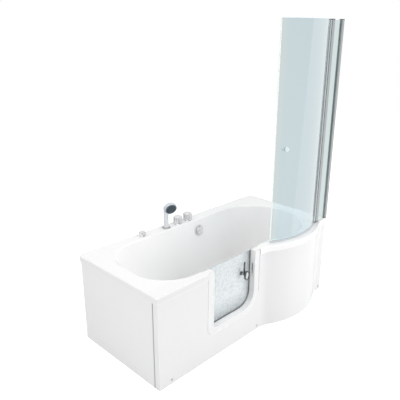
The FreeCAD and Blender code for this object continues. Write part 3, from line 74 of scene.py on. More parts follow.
# Light levels of the world and the floor
AMBIENT_LEVEL = 0.71
BACKDROP_LEVEL = 1.0
BEHIND_GLASS_LEVEL = 0.725
FLOOR_GLOW = 0.6
FLOOR_COLOUR = (0.76, 0.76, 0.765)
FLOOR_HALF = 9.0

# Bands of the room that gloss shows, from below the horizon to the ceiling
BANDS_LOW, BANDS_HIGH = -0.2, 1.0
BANDS = ((0.0, (0.5, 0.51, 0.52)), (0.18, (0.16, 0.17, 0.18)), (0.3, (0.75, 0.76, 0.77)),
         (0.6, (1.0, 1.0, 1.0)), (0.8, (0.3, 0.31, 0.32)), (1.0, (0.9, 0.9, 0.9)))

# Bright side of the room that gloss shows: a direction, where along it the brightness starts,
# and how far back it reaches
BRIGHT_WAY = (1.0, 1.0, -0.864)
BRIGHT_START, BRIGHT_FULL = 0.04, 0.11
BRIGHT_BACK, BRIGHT_BACK_END = 0.10, 0.25
BRIGHT_LEVEL = 1.2

# Lamps: name, place, aim, size, power, and whether gloss and glass show it
LAMPS = (
    ("key_lamp", (1.9, -4.4, 1.9), (0.1, 0, 0.5), 2.6, 88, False),
    ("top_lamp", (-0.4, 0.3, 4.6), (0, 0, 0.5), 3.4, 60, True),
    ("left_lamp", (-4.0, -0.6, 2.0), (0, 0, 0.5), 2.6, 33, True),
)

# Refraction of plastics and glass, the middle range of noise, and the angle where an edge stays sharp
PLASTIC_IOR = 1.49
GLASS_IOR = 1.46
NOISE_LOW, NOISE_HIGH = 0.3, 0.7
SHARP_ANGLE = 40

# Bath: the stretch along which the basin's tone changes, and the tones along it, which darken towards the
# right as painted shade
BASIN_LEFT, BASIN_RIGHT = -0.35, 0.45
BASIN_PAINTED_SHADES = ((0.0, (0.922, 0.917, 0.914)), (0.45, (0.926, 0.921, 0.918)), (1.0, (0.864, 0.859, 0.857)))

# Turned-down edge of the bath: its height, how far back its straight front part reaches, where that
# ends, how it fades, how far in its left end lies, and its painted shade at that end and at the front
EDGE_HEIGHT = 0.04
EDGE_FRONT = -0.24
EDGE_END = 0.05
EDGE_FADE = 0.15
EDGE_LEFT, EDGE_LEFT_END = 0.006, 0.012
EDGE_LEFT_PAINTED_SHADE, EDGE_FRONT_PAINTED_SHADE = 0.84, 0.78

# Deck of the bath: where the bow starts and how it fades, the painted shade line at the wall edge, and the
# painted light and shade on it: the bow paler, the deck darker than the basin, the line dark
BOW_FRONT = -0.335
BOW_FADE = 0.03
WALL_SHADE_LINE = 0.006
BOW_PAINTED_LIGHT, WALL_SHADE_LINE_TONE = 0.875, 0.58
DECK_PAINTED_SHADE = (0.838, 0.837, 0.835)
DECK_FADE_LOW, DECK_FADE_HIGH = 0.008, 0.002

# Panels: tones along the front panel and along the end panel, with its dark corner joint; the end panel
# is paler than the front panel as painted light on its less lit face
FRONT_TONES = ((0.0, 0.85), (0.002, 0.85), (0.004, 0.80), (1.0, 0.80))
END_TONES_WITH_PAINTED_LIGHT = ((0.0, 0.50), (0.006, 0.50), (0.011, 0.868), (1.0, 0.868))
PANEL_COOLNESS = (1.0, 1.003, 1.004)

# Door surround: its width, how far above the sill and how deep behind its face the sill's painted light
# reaches, and its tones: painted light on the left edge and the sill, and a painted shadow line on the
# right edge
SURROUND_WIDE = 0.05
SILL_FULL, SILL_END = 0.02, 0.06
SILL_FRONT, SILL_DEEP = 0.003, 0.006
LEFT_EDGE_PAINTED_LIGHT = 0.93
SIDE_TONE = (0.82, 0.823, 0.825)
RIGHT_EDGE_SHADOW_TONE = (0.40, 0.40, 0.41)
SILL_PAINTED_LIGHT = (0.94, 0.945)

# Glass: how thin a layer at a pane's end and top is ground, tints along the curved pane, paler at its hinge
# end as painted reflection, and what lamps keep behind each pane
GROUND_END = (0.002, 0.005)
GROUND_TOP = (0.0005, 0.002)
SCREEN_TINTS_AND_PAINTED_REFLECTION = ((0.0, (0.89, 0.972, 0.957)), (0.05, (0.87, 0.972, 0.975)), (0.10, (0.825, 0.957, 1.0)),
                (0.55, (0.825, 0.952, 0.995)), (1.0, (0.865, 0.962, 0.995)))
SCREEN_SHADOW = (0.9, 0.95, 0.965)
FIXED_SHADOW = (0.92, 0.96, 0.965)
DOOR_SHADOW = (0.9, 0.93, 0.95)

# Door glass: how much lies behind the frame, its clear share and haze, how wide its painted shade reaches
# at the latch side and the sill, the size of its bubbles, and its tints and painted shades
GLASS_HIDDEN = 0.028
DOOR_CLEAR = 0.68
DOOR_HAZE = 0.08
LATCH_SHADE_WIDTH, SILL_SHADE_WIDTH = 0.08, 0.12
BUBBLE_SCALE = 60.0
BUBBLE_TINTS = ((0.1, (1.0, 1.0, 1.0)), (0.4, (0.945, 0.97, 0.978)), (0.75, (0.80, 0.855, 0.87)))
DOOR_SHADES = ((0.0, (0.60, 0.62, 0.63)), (0.5, (0.83, 0.845, 0.855)), (1.0, (0.975, 0.98, 0.985)))

# Hand shower, as the solids have it, with the tones of its handle and head
HEAD_FORWARD = 0.094
HEAD_HEIGHT = 0.171
HEAD_TILT = 22.0
HEAD_TURN = 20.0
HEAD_SPAN = 0.11
HANDLE_TONE, HEAD_TONE = (0.72, 0.74, 0.76), (0.57, 0.60, 0.63)

# Spray face: its crown, how it falls off, rings of nozzles, and the turned profiles on it
FACE_CROWN = 0.0070
FACE_FALL = 0.028
NOZZLE_RINGS = ((0.0, 1), (0.008, 6), (0.015, 12), (0.022, 16), (0.029, 22))
NOZZLE_PROFILE = ((0.0017, -0.001), (0.0016, 0.0008), (0.0012, 0.0013), (0.0006, 0.0013),
                  (0.0005, 0.0004), (0, 0.0004))
NOZZLE_SIDES = 10
RING_PROFILE = ((0.0335, 0.0048), (0.034, 0.0068), (0.0352, 0.0071), (0.0364, 0.0066), (0.0368, 0.0046))
RING_SIDES = 48

# Inlay in the door lever's dish, a painted highlight: bright metal for the reflection in the middle of the
# chrome lever
INLAY_WIDE, INLAY_HIGH = 0.0130, 0.0245
INLAY_DEEP = 0.0012
INLAY_FOOT = 0.002
INLAY_SIDES = 40

# Anti-slip field on the basin floor
GRIP_PITCH = 0.036
GRIP_RADIUS = 0.0085
GRIP_RISE = 0.0016
GRIP_SIDES = 14
GRIP_LEFT, GRIP_RIGHT = -0.30, 0.44
GRIP_FRONT, GRIP_BACK = -0.105, 0.205
BASIN_FLOOR = 0.150


def grey(tone):
    """A colour without hue."""
    return (tone, tone, tone)


def material(name):
    """A new material; gives it with its node tree and its Principled shader."""
    made = bpy.data.materials.new(name)
    made.use_nodes = True
    return made, made.node_tree, made.node_tree.nodes["Principled BSDF"]


def add(tree, kind, sockets=(), **settings):
    """A new node with its input sockets and its settings filled in."""
    node = tree.nodes.new(kind)
    for name, value in dict(sockets).items():
        node.inputs[name].default_value = value
    for name, value in settings.items():
        setattr(node, name, value)
    return node


def noise(tree, scale, detail=3.0, stretch=(1, 1, 1)):
    """Noise in the part's own coordinates, stretched where a grain runs along an axis."""
    place = add(tree, "ShaderNodeTexCoord")
    mapping = add(tree, "ShaderNodeMapping", {"Scale": stretch})
    pattern = add(tree, "ShaderNodeTexNoise", {"Scale": scale, "Detail": detail})
    tree.links.new(place.outputs["Object"], mapping.inputs["Vector"])
    tree.links.new(mapping.outputs["Vector"], pattern.inputs["Vector"])
    return pattern.outputs["Fac"]


def ramp(tree, value, *stops):
    """A colour that follows a value through stops of position and colour."""
    node = add(tree, "ShaderNodeValToRGB")
    elements = node.color_ramp.elements
    while len(elements) < len(stops):
        elements.new(0.5)
    for element, (position, colour) in zip(elements, stops):
        element.position = position
        element.color = (*colour, 1)
    tree.links.new(value, node.inputs["Fac"])
    return node.outputs["Color"]


def drifting(tree, value, low, high):
    """A colour that drifts between two with noise."""
    return ramp(tree, value, (NOISE_LOW, low), (NOISE_HIGH, high))


def spread(tree, value, low, high):
    """Noise spread over a range of values."""
    node = add(tree, "ShaderNodeMapRange",
               {"From Min": NOISE_LOW, "From Max": NOISE_HIGH, "To Min": low, "To Max": high})
    tree.links.new(value, node.inputs["Value"])
    return node.outputs["Result"]


def relief(tree, shader, value, strength, depth, edge=0.0):
    """Fine relief on a surface, over edges that are rounded where edge gives a radius."""
    bump = add(tree, "ShaderNodeBump", {"Strength": strength, "Distance": depth})
    tree.links.new(value, bump.inputs["Height"])
    if edge:
        soft = add(tree, "ShaderNodeBevel", {"Radius": edge}, samples=4)
        tree.links.new(soft.outputs["Normal"], bump.inputs["Normal"])
    tree.links.new(bump.outputs["Normal"], shader.inputs["Normal"])


def solid_finish(name, low, high, roughness, grain, bump, edge=0.0, metallic=0.0, stretch=(1, 1, 1)):
    """An opaque finish: a colour that drifts a little, uneven gloss, fine relief and soft edges."""
    made, tree, shader = material(name)
    shader.inputs["Metallic"].default_value = metallic
    shader.inputs["IOR"].default_value = PLASTIC_IOR
    drift = noise(tree, grain)
    tree.links.new(drifting(tree, drift, low, high), shader.inputs["Base Color"])
    tree.links.new(spread(tree, drift, *roughness), shader.inputs["Roughness"])
    bump_scale, strength, depth = bump
    relief(tree, shader, noise(tree, bump_scale, 2.0, stretch), strength, depth, edge)
    return made


def glass(name, roughness=0.0):
    """Clear glass; its colour follows."""
    made, tree, shader = material(name)
    shader.inputs["Transmission Weight"].default_value = 1.0
    shader.inputs["IOR"].default_value = GLASS_IOR
    shader.inputs["Roughness"].default_value = roughness
    return made, tree, shader


def through_lamps(tree, shader, tint):
    """Lets lamp light pass a glass surface instead of leaving a hard shadow."""
    rays = add(tree, "ShaderNodeLightPath")
    clear = add(tree, "ShaderNodeBsdfTransparent", {"Color": (*tint, 1)})
    mix = add(tree, "ShaderNodeMixShader")
    tree.links.new(rays.outputs["Is Shadow Ray"], mix.inputs["Fac"])
    tree.links.new(shader.outputs["BSDF"], mix.inputs[1])
    tree.links.new(clear.outputs["BSDF"], mix.inputs[2])
    tree.links.new(mix.outputs["Shader"], tree.nodes["Material Output"].inputs["Surface"])


def across(tree, way, low, high, space="Object"):
    """How far a point lies between two places along a direction, from 0 to 1."""
    place = add(tree, "ShaderNodeTexCoord")
    along = add(tree, "ShaderNodeVectorMath", operation="DOT_PRODUCT")
    along.inputs[1].default_value = way
    node = add(tree, "ShaderNodeMapRange", {"From Min": low, "From Max": high})
    tree.links.new(place.outputs[space], along.inputs[0])
    tree.links.new(along.outputs["Value"], node.inputs["Value"])
    return node.outputs["Result"]


def least(tree, first, second, rule="MINIMUM"):
    """The smaller of two values, or the larger where the rule is MAXIMUM."""
    node = add(tree, "ShaderNodeMath", operation=rule)
    tree.links.new(first, node.inputs[0])
    tree.links.new(second, node.inputs[1])
    return node.outputs["Value"]


def blend(tree, value, first, second):
    """One colour turning into another as a value goes from 0 to 1."""
    node = add(tree, "ShaderNodeMix", data_type="RGBA")
    for source, socket in ((value, 0), (first, 6), (second, 7)):
        tree.links.new(source, node.inputs[socket])
    return node.outputs[2]


def product(tree, first, second):
    """Two colours multiplied."""
    node = add(tree, "ShaderNodeVectorMath", operation="MULTIPLY")
    tree.links.new(first, node.inputs[0])
    tree.links.new(second, node.inputs[1])
    return node.outputs["Vector"]


def screen_glass():
    """The curved pane: pale blue, greener at its free edge, paler at its hinge end as painted reflection,
    with ground edges.
    """
    made, tree, shader = glass("screen_glass_look")
    low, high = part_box("screen_glass")
    # Tints greener at the free edge, and paler at the hinge end as painted reflection
    tint = ramp(tree, across(tree, ALONG, low.x, high.x), *SCREEN_TINTS_AND_PAINTED_REFLECTION)
    tree.links.new(tint, shader.inputs["Base Color"])
    end_face = across(tree, ALONG, *(low.x + depth for depth in GROUND_END))
    top_face = across(tree, UP, *(high.z - depth for depth in GROUND_TOP))
    tree.links.new(least(tree, end_face, top_face), shader.inputs["Transmission Weight"])
    relief(tree, shader, noise(tree, 3.0, 1.0), 0.02, 0.001)
    through_lamps(tree, shader, SCREEN_SHADOW)
    return made


def fixed_glass():
    """The narrow straight pane beside the wall."""
    made, tree, shader = glass("fixed_glass_look")
    tint = drifting(tree, noise(tree, 4.0), (0.86, 0.995, 0.99), (0.88, 1.0, 0.998))
    tree.links.new(tint, shader.inputs["Base Color"])
    relief(tree, shader, noise(tree, 3.0, 1.0), 0.02, 0.001)
    through_lamps(tree, shader, FIXED_SHADOW)
    return made


def door_glass():
    """The door's patterned glass: bubbled, faintly blue, with painted shade towards the latch side and the
    sill.
    """
    made, tree, shader = glass("door_glass_look", DOOR_HAZE)
    low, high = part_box("door_glass")
    place = add(tree, "ShaderNodeTexCoord")
    cells = add(tree, "ShaderNodeTexVoronoi", {"Scale": BUBBLE_SCALE, "Randomness": 1.0})
    tree.links.new(place.outputs["Object"], cells.inputs["Vector"])
    tint = ramp(tree, cells.outputs["Distance"], *BUBBLE_TINTS)
    latch_edge, sill_edge = high.x - GLASS_HIDDEN, low.z + GLASS_HIDDEN
    # Painted shade towards the latch side and the sill
    latch_shade = across(tree, ALONG, latch_edge, latch_edge - LATCH_SHADE_WIDTH)
    sill_shade = across(tree, UP, sill_edge, sill_edge + SILL_SHADE_WIDTH)
    body = across(tree, UP, *(high.z - depth for depth in GROUND_TOP))
    shade = ramp(tree, least(tree, least(tree, latch_shade, sill_shade), body), *DOOR_SHADES)
    tree.links.new(product(tree, tint, shade), shader.inputs["Base Color"])
    clear = add(tree, "ShaderNodeMath", operation="MULTIPLY")
    clear.inputs[1].default_value = DOOR_CLEAR
    tree.links.new(body, clear.inputs[0])
    tree.links.new(clear.outputs["Value"], shader.inputs["Transmission Weight"])
    relief(tree, shader, cells.outputs["Distance"], 0.35, 0.002)
    through_lamps(tree, shader, DOOR_SHADOW)
    return made


def bath_shell():
    """The bath's acrylic, with painted light and shade: basin darker to the right, deck and edge darker,
    bow paler, and a shade line at the wall edge.
    """
    made, tree, shader = material("bath_shell_look")
    shader.inputs["IOR"].default_value = PLASTIC_IOR
    low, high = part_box("bath_shell")
    # Painted shade: the basin darkens towards the right
    basin = ramp(tree, across(tree, ALONG, BASIN_LEFT, BASIN_RIGHT), *BASIN_PAINTED_SHADES)
    left, left_end = low.x + EDGE_LEFT, low.x + EDGE_LEFT_END
    # Painted shade: the turned-down edge is darker than the basin
    edge = ramp(tree, across(tree, ALONG, left, left_end), (0.0, grey(EDGE_LEFT_PAINTED_SHADE)),
                (1.0, grey(EDGE_FRONT_PAINTED_SHADE)))
    bow, wall = ((spot - low.y) / (high.y - low.y) for spot in (BOW_FRONT, high.y - WALL_SHADE_LINE))
    # Painted light and shade on the deck: paler on the bow, darker than the basin elsewhere, and a dark
    # shade line at the wall edge
    deck = ramp(tree, across(tree, BACK, low.y, high.y), (bow - BOW_FADE, grey(BOW_PAINTED_LIGHT)), (bow, DECK_PAINTED_SHADE),
                (wall, DECK_PAINTED_SHADE), (wall + 0.003, grey(WALL_SHADE_LINE_TONE)))
    straight = least(tree, across(tree, BACK, EDGE_FRONT + 0.02, EDGE_FRONT),
                     across(tree, ALONG, EDGE_END, EDGE_END - EDGE_FADE))
    outer = least(tree, straight, across(tree, ALONG, left_end, left), "MAXIMUM")
    edge_low = high.z - EDGE_HEIGHT
    side = least(tree, outer, across(tree, UP, edge_low - 0.002, edge_low))
    top = across(tree, UP, high.z - DECK_FADE_LOW, high.z - DECK_FADE_HIGH)
    base = blend(tree, top, blend(tree, side, basin, edge), deck)
    tree.links.new(base, shader.inputs["Base Color"])
    tree.links.new(spread(tree, noise(tree, 3.0), 0.16, 0.22), shader.inputs["Roughness"])
    relief(tree, shader, noise(tree, 60.0, 2.0), 0.02, 0.0006)
    return made


def panel(node, way, tones):
    """A white panel whose tone changes near the corner joint; the tones lie along a direction."""
    made, tree, shader = material(node + "_look")
    ends = (corner.dot(Vector(way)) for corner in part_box(node))
    stops = [(spot, [tone * share for share in PANEL_COOLNESS]) for spot, tone in tones]
    colour = ramp(tree, across(tree, way, *ends), *stops)
    drift = noise(tree, 2.5)
    uneven = drifting(tree, drift, grey(0.99), grey(1.0))
    tree.links.new(product(tree, colour, uneven), shader.inputs["Base Color"])
    tree.links.new(spread(tree, drift, 0.18, 0.26), shader.inputs["Roughness"])
    relief(tree, shader, noise(tree, 90.0, 2.0), 0.03, 0.0006, 0.0015)
    return made


def door_surround():
    """The doorway's white moulding: sill and left edge paler as painted light, and a painted shadow line
    along its right edge.
    """
    made, tree, shader = material("surround_look")
    low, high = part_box("door_frame")
    # Painted light on the left edge, and a painted shadow line along the right edge
    sides = ramp(tree, across(tree, ALONG, low.x, high.x), (0.0, grey(LEFT_EDGE_PAINTED_LIGHT)),
                 (0.006, grey(LEFT_EDGE_PAINTED_LIGHT)), (0.01, SIDE_TONE), (0.988, SIDE_TONE), (0.9895, RIGHT_EDGE_SHADOW_TONE))
    drift = noise(tree, 9.0)
    # Painted light: the sill is paler
    sill = drifting(tree, drift, *(grey(tone) for tone in SILL_PAINTED_LIGHT))
    sill_top = low.z + SURROUND_WIDE
    on_sill = least(tree, across(tree, UP, sill_top + SILL_END, sill_top + SILL_FULL),
                    across(tree, BACK, low.y + SILL_FRONT, low.y + SILL_DEEP))
    tree.links.new(blend(tree, on_sill, sides, sill), shader.inputs["Base Color"])
    tree.links.new(spread(tree, drift, 0.2, 0.3), shader.inputs["Roughness"])
    relief(tree, shader, noise(tree, 500.0, 2.0), 0.05, 0.0004, 0.003)
    return made


def hand_shower():
    """Pearl plastic: a pale handle under a greyer head."""
    made, tree, shader = material("pearl_plastic_look")
    head_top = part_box("handset_shell")[1].z
    head = across(tree, UP, head_top - HEAD_SPAN, head_top - HEAD_SPAN / 2)
    tree.links.new(ramp(tree, head, (0.0, HANDLE_TONE), (1.0, HEAD_TONE)), shader.inputs["Base Color"])
    tree.links.new(spread(tree, noise(tree, 25.0), 0.2, 0.3), shader.inputs["Roughness"])
    relief(tree, shader, noise(tree, 900.0, 2.0), 0.06, 0.0003, 0.0006)
    return made


def wood_board():
    """Raw chipboard: pressed flakes with a fine grain along the board."""
    made, tree, shader = material("board_look")
    place = add(tree, "ShaderNodeTexCoord")
    mapping = add(tree, "ShaderNodeMapping", {"Scale": (0.4, 1.0, 1.0)})
    flakes = add(tree, "ShaderNodeTexVoronoi", {"Scale": 160.0})
    tree.links.new(place.outputs["Object"], mapping.inputs["Vector"])
    tree.links.new(mapping.outputs["Vector"], flakes.inputs["Vector"])
    colour = ramp(tree, flakes.outputs["Color"], (0.1, (0.52, 0.38, 0.23)), (0.9, (0.74, 0.60, 0.42)))
    tree.links.new(colour, shader.inputs["Base Color"])
    shader.inputs["Roughness"].default_value = 0.75
    relief(tree, shader, flakes.outputs["Distance"], 0.3, 0.0008)
    return made


# Opaque finishes: colours between which each drifts, range of roughness, size of the drift, and relief as
# scale, strength and depth
BRUSHED = {"roughness": (0.30, 0.38), "grain": 30.0, "bump": (9.0, 0.08, 0.0004), "edge": 0.0008,
           "metallic": 1.0, "stretch": (90, 90, 1.5)}
FINISH = {
    "white_acrylic": solid_finish(
        "acrylic_look", (0.905, 0.902, 0.898), (0.92, 0.917, 0.913), (0.10, 0.16),
        grain=3.0, bump=(60.0, 0.02, 0.0006)),
    "white_panel": panel("front_panel", ALONG, FRONT_TONES),
    "white_moulding": door_surround(),
    "clear_glass": fixed_glass(),
    "chrome": solid_finish(
        "chrome_look", (0.80, 0.81, 0.83), (0.84, 0.85, 0.865), (0.05, 0.12),
        grain=40.0, bump=(260.0, 0.03, 0.0003), edge=0.0008, metallic=1.0),
    "satin_chrome": solid_finish(
        "satin_chrome_look", (0.74, 0.745, 0.75), (0.79, 0.795, 0.80), (0.34, 0.44),
        grain=40.0, bump=(600.0, 0.05, 0.0003), edge=0.0008, metallic=1.0),
    # Painted reflection: chrome made dark, for the dark surroundings that the lever's chrome reflects
    "dark_chrome": solid_finish(
        "chrome_painted_dark_reflection_look", (0.10, 0.105, 0.11), (0.13, 0.135, 0.14), (0.12, 0.2),
        grain=60.0, bump=(500.0, 0.04, 0.0003), edge=0.0006, metallic=1.0),
    "anodised": solid_finish("post_anodised_look", (0.40, 0.425, 0.43), (0.44, 0.465, 0.47), **BRUSHED),
    "grey_plastic": solid_finish(
        "grey_plastic_look", (0.10, 0.105, 0.11), (0.13, 0.135, 0.14), (0.45, 0.6),
        grain=60.0, bump=(1500.0, 0.2, 0.0003), edge=0.0006),
    "dark_face": solid_finish(
        "dark_face_look", (0.012, 0.026, 0.038), (0.02, 0.036, 0.05), (0.4, 0.5),
        grain=80.0, bump=(1200.0, 0.1, 0.0003), edge=0.0005),
    "white_plastic": solid_finish(
        "white_plastic_look", (0.82, 0.825, 0.83), (0.85, 0.855, 0.86), (0.3, 0.4),
        grain=30.0, bump=(900.0, 0.1, 0.0003), edge=0.0006),
    "seal_rubber": solid_finish(
        "rubber_look", (0.15, 0.155, 0.16), (0.19, 0.195, 0.20), (0.6, 0.75),
        grain=50.0, bump=(1300.0, 0.3, 0.0003), edge=0.0005),
    "steel": solid_finish(
        "zinc_steel_look", (0.52, 0.53, 0.54), (0.62, 0.63, 0.635), (0.25, 0.4),
        grain=90.0, bump=(700.0, 0.1, 0.0003), edge=0.0004, metallic=1.0),
    "rail_paint": solid_finish(
        "rail_paint_look", (0.27, 0.28, 0.29), (0.32, 0.33, 0.34), (0.4, 0.55),
        grain=12.0, bump=(1400.0, 0.25, 0.0003), edge=0.001),
    "board": wood_board(),
    "brass": solid_finish(
        "brass_look", (0.58, 0.42, 0.17), (0.68, 0.52, 0.24), (0.25, 0.4),
        grain=70.0, bump=(800.0, 0.1, 0.0003), edge=0.0005, metallic=1.0),
}
NOZZLE = solid_finish("nozzle_look", (0.17, 0.23, 0.27), (0.23, 0.29, 0.33), (0.4, 0.5),
                      grain=200.0, bump=(2000.0, 0.1, 0.0002))
TAP_METAL = solid_finish("tap_metal_look", (0.80, 0.80, 0.805), (0.85, 0.85, 0.855), (0.2, 0.28),
                         grain=40.0, bump=(600.0, 0.05, 0.0003), edge=0.001, metallic=0.85)

# Looks of single pieces that differ from the finish of their slot
OWN_LOOK = {
    "bath_shell": bath_shell(),
    # Painted light: the end panel is paler than the front panel
    "end_panel": panel("end_panel", BACK, END_TONES_WITH_PAINTED_LIGHT),
    "screen_glass": screen_glass(),
    "door_glass": door_glass(),
    "handset_shell": hand_shower(),
    "handset_guide": solid_finish(
        "guide_look", (0.36, 0.365, 0.37), (0.42, 0.425, 0.43), (0.35, 0.45),
        grain=60.0, bump=(700.0, 0.06, 0.0003), edge=0.0008),
    "screen_seal": solid_finish(
        "pale_seal_look", (0.56, 0.57, 0.60), (0.62, 0.63, 0.66), (0.4, 0.5),
        grain=50.0, bump=(1300.0, 0.2, 0.0003), edge=0.0005),
    # Painted light and shade: one anodised aluminium, paler on the swing profile and darker on the wall
    # profile
    "swing_profile": solid_finish("anodised_painted_light_look", (0.80, 0.83, 0.84), (0.84, 0.87, 0.88), **BRUSHED),
    "wall_profile": solid_finish("anodised_painted_shade_look", (0.40, 0.42, 0.42), (0.46, 0.48, 0.48), **BRUSHED),
    "screen_knob_outer": solid_finish(
        "pale_knob_look", (0.66, 0.74, 0.73), (0.71, 0.79, 0.78), (0.15, 0.22),
        grain=60.0, bump=(700.0, 0.05, 0.0003), edge=0.001),
    "screen_knob_inner": FINISH["white_plastic"],
    "screw_caps": solid_finish(
        "screw_cap_look", (0.50, 0.50, 0.505), (0.55, 0.55, 0.555), (0.35, 0.45),
        grain=60.0, bump=(900.0, 0.1, 0.0003), edge=0.0006),
    "hot_knob": TAP_METAL,
    "cold_knob": TAP_METAL,
    "diverter_knob": TAP_METAL,
    "overflow_knob": TAP_METAL,
}

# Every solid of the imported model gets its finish
for part in frame["record"]["subparts"]:
    node = frame["nodes"][part["node"]]
    node.data.materials.clear()
    node.data.materials.append(OWN_LOOK.get(part["node"], FINISH[part["material_slot"]]))


def lathe(name, profile, places, look, segments):
    """One piece with a turned profile at each place; a radius of 0 closes it on its axis."""
    mesh = bmesh.new()
    turns = [2 * math.pi * i / segments for i in range(segments)]
    for place in places:
        rings = []
        for radius, height in profile:
            spots = [(0, 0, height)]
            if radius:
                spots = [(radius * math.cos(turn), radius * math.sin(turn), height) for turn in turns]
            rings.append([mesh.verts.new(place @ Vector(spot)) for spot in spots])
        for low, high in zip(rings, rings[1:]):
            for i in range(segments):
                j = (i + 1) % segments
                corners = (low[i % len(low)], low[j % len(low)], high[j % len(high)], high[i % len(high)])
                mesh.faces.new(dict.fromkeys(corners))
    bmesh.ops.recalc_face_normals(mesh, faces=mesh.faces)
    data = bpy.data.meshes.new(name)
    mesh.to_mesh(data)
    mesh.free()
    data.shade_smooth()
    data.set_sharp_from_angle(angle=math.radians(SHARP_ANGLE))
    data.materials.append(look)
    piece = bpy.data.objects.new(name, data)
    scene.collection.objects.link(piece)
    return piece


def middle(node):
    """The middle of a solid's box."""
    low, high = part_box(node)
    return (low + high) / 2


# Spray nozzles on the hand shower's face, in rings, with a narrow ring round them
rim_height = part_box("escutcheons")[0].z
handle = middle("handset_guide")
head_turn = math.radians(HEAD_TURN)
face_place = Matrix.Translation((handle.x - math.sin(head_turn) * HEAD_FORWARD,
                                 handle.y - math.cos(head_turn) * HEAD_FORWARD, rim_height + HEAD_HEIGHT))
face_frame = (face_place @ Matrix.Rotation(-head_turn, 4, "Z")
              @ Matrix.Rotation(math.radians(90 + HEAD_TILT), 4, "X"))
nozzle_places = []
for ring, count in NOZZLE_RINGS:
    for i in range(count):
        angle = 2 * math.pi * i / count
        height = FACE_CROWN - FACE_FALL * ring
        spot = Vector((ring * math.cos(angle), ring * math.sin(angle), height))
        nozzle_places.append(face_frame @ Matrix.Translation(spot))
nozzles = lathe("spray_nozzles", NOZZLE_PROFILE, nozzle_places, NOZZLE, NOZZLE_SIDES)
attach(nozzles, "handset")
face_ring = lathe("spray_ring", RING_PROFILE, [face_frame], NOZZLE, RING_SIDES)
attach(face_ring, "handset")

# Bright inlay in the dish of the door lever: a painted highlight for the reflection in the middle of its
# chrome
lever_middle = middle("door_lever")
lever_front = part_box("door_lever")[0].y
inlay_place = (Matrix.Translation((lever_middle.x, lever_front, lever_middle.z))
               @ Matrix.Rotation(math.radians(90), 4, "X")
               @ Matrix.Diagonal((INLAY_WIDE, INLAY_HIGH, 1, 1)))
inlay_profile = ((1.0, -INLAY_FOOT), (1.0, -INLAY_DEEP), (0.9, -INLAY_DEEP / 2), (0, 0))
inlay = lathe("lever_painted_highlight_inlay", inlay_profile, [inlay_place], FINISH["satin_chrome"], INLAY_SIDES)
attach(inlay, "latch")

# Raised anti-slip dots on the basin floor, left out round the waste
waste = middle("waste_flange")
waste_room = (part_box("waste_flange")[1].x - waste.x) + 2 * GRIP_RADIUS
grip_places = []
rows = round((GRIP_BACK - GRIP_FRONT) / GRIP_PITCH)
columns = round((GRIP_RIGHT - GRIP_LEFT) / GRIP_PITCH)
for row in range(rows + 1):
    for column in range(columns + 1):
        spot = Vector((GRIP_LEFT + (column + row % 2 / 2) * GRIP_PITCH, GRIP_FRONT + row * GRIP_PITCH,
                       BASIN_FLOOR))
        if math.hypot(spot.x - waste.x, spot.y - waste.y) > waste_room:
            grip_places.append(Matrix.Translation(spot))
grip_profile = ((GRIP_RADIUS, -GRIP_RISE / 2), (GRIP_RADIUS * 0.9, GRIP_RISE * 0.6),
                (GRIP_RADIUS * 0.5, GRIP_RISE), (0, GRIP_RISE * 1.1))
grip = lathe("floor_grip", grip_profile, grip_places, FINISH["white_acrylic"], GRIP_SIDES)
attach(grip, "tub")


def studio_floor():
    """A pale floor that keeps the shadow and looks white from the camera and behind glass."""
    data = bpy.data.meshes.new("studio_floor")
    corners = [(x, y, 0) for x, y in ((-FLOOR_HALF, -FLOOR_HALF), (FLOOR_HALF, -FLOOR_HALF),
                                      (FLOOR_HALF, FLOOR_HALF), (-FLOOR_HALF, FLOOR_HALF))]
    data.from_pydata(corners, [], [range(4)])
    made = bpy.data.materials.new("studio_floor_look")
    made.use_nodes = True
    tree = made.node_tree
    tree.nodes.clear()
    rays = add(tree, "ShaderNodeLightPath")
    matt = add(tree, "ShaderNodeBsdfDiffuse", {"Color": (*FLOOR_COLOUR, 1)})
    glow = add(tree, "ShaderNodeEmission", {"Strength": FLOOR_GLOW})
    shown = add(tree, "ShaderNodeAddShader")
    seen = add(tree, "ShaderNodeMixShader")
    behind = add(tree, "ShaderNodeEmission", {"Strength": BEHIND_GLASS_LEVEL})
    whole = add(tree, "ShaderNodeMixShader")
    output = add(tree, "ShaderNodeOutputMaterial")
    tree.links.new(matt.outputs["BSDF"], shown.inputs[0])
    tree.links.new(glow.outputs["Emission"], shown.inputs[1])
    tree.links.new(rays.outputs["Is Camera Ray"], seen.inputs["Fac"])
    tree.links.new(matt.outputs["BSDF"], seen.inputs[1])
    tree.links.new(shown.outputs["Shader"], seen.inputs[2])
    tree.links.new(rays.outputs["Is Transmission Ray"], whole.inputs["Fac"])
    tree.links.new(seen.outputs["Shader"], whole.inputs[1])
    tree.links.new(behind.outputs["Emission"], whole.inputs[2])
    tree.links.new(whole.outputs["Shader"], output.inputs["Surface"])
    data.materials.append(made)
    floor = bpy.data.objects.new("studio_floor", data)
    floor.visible_glossy = False
    scene.collection.objects.link(floor)


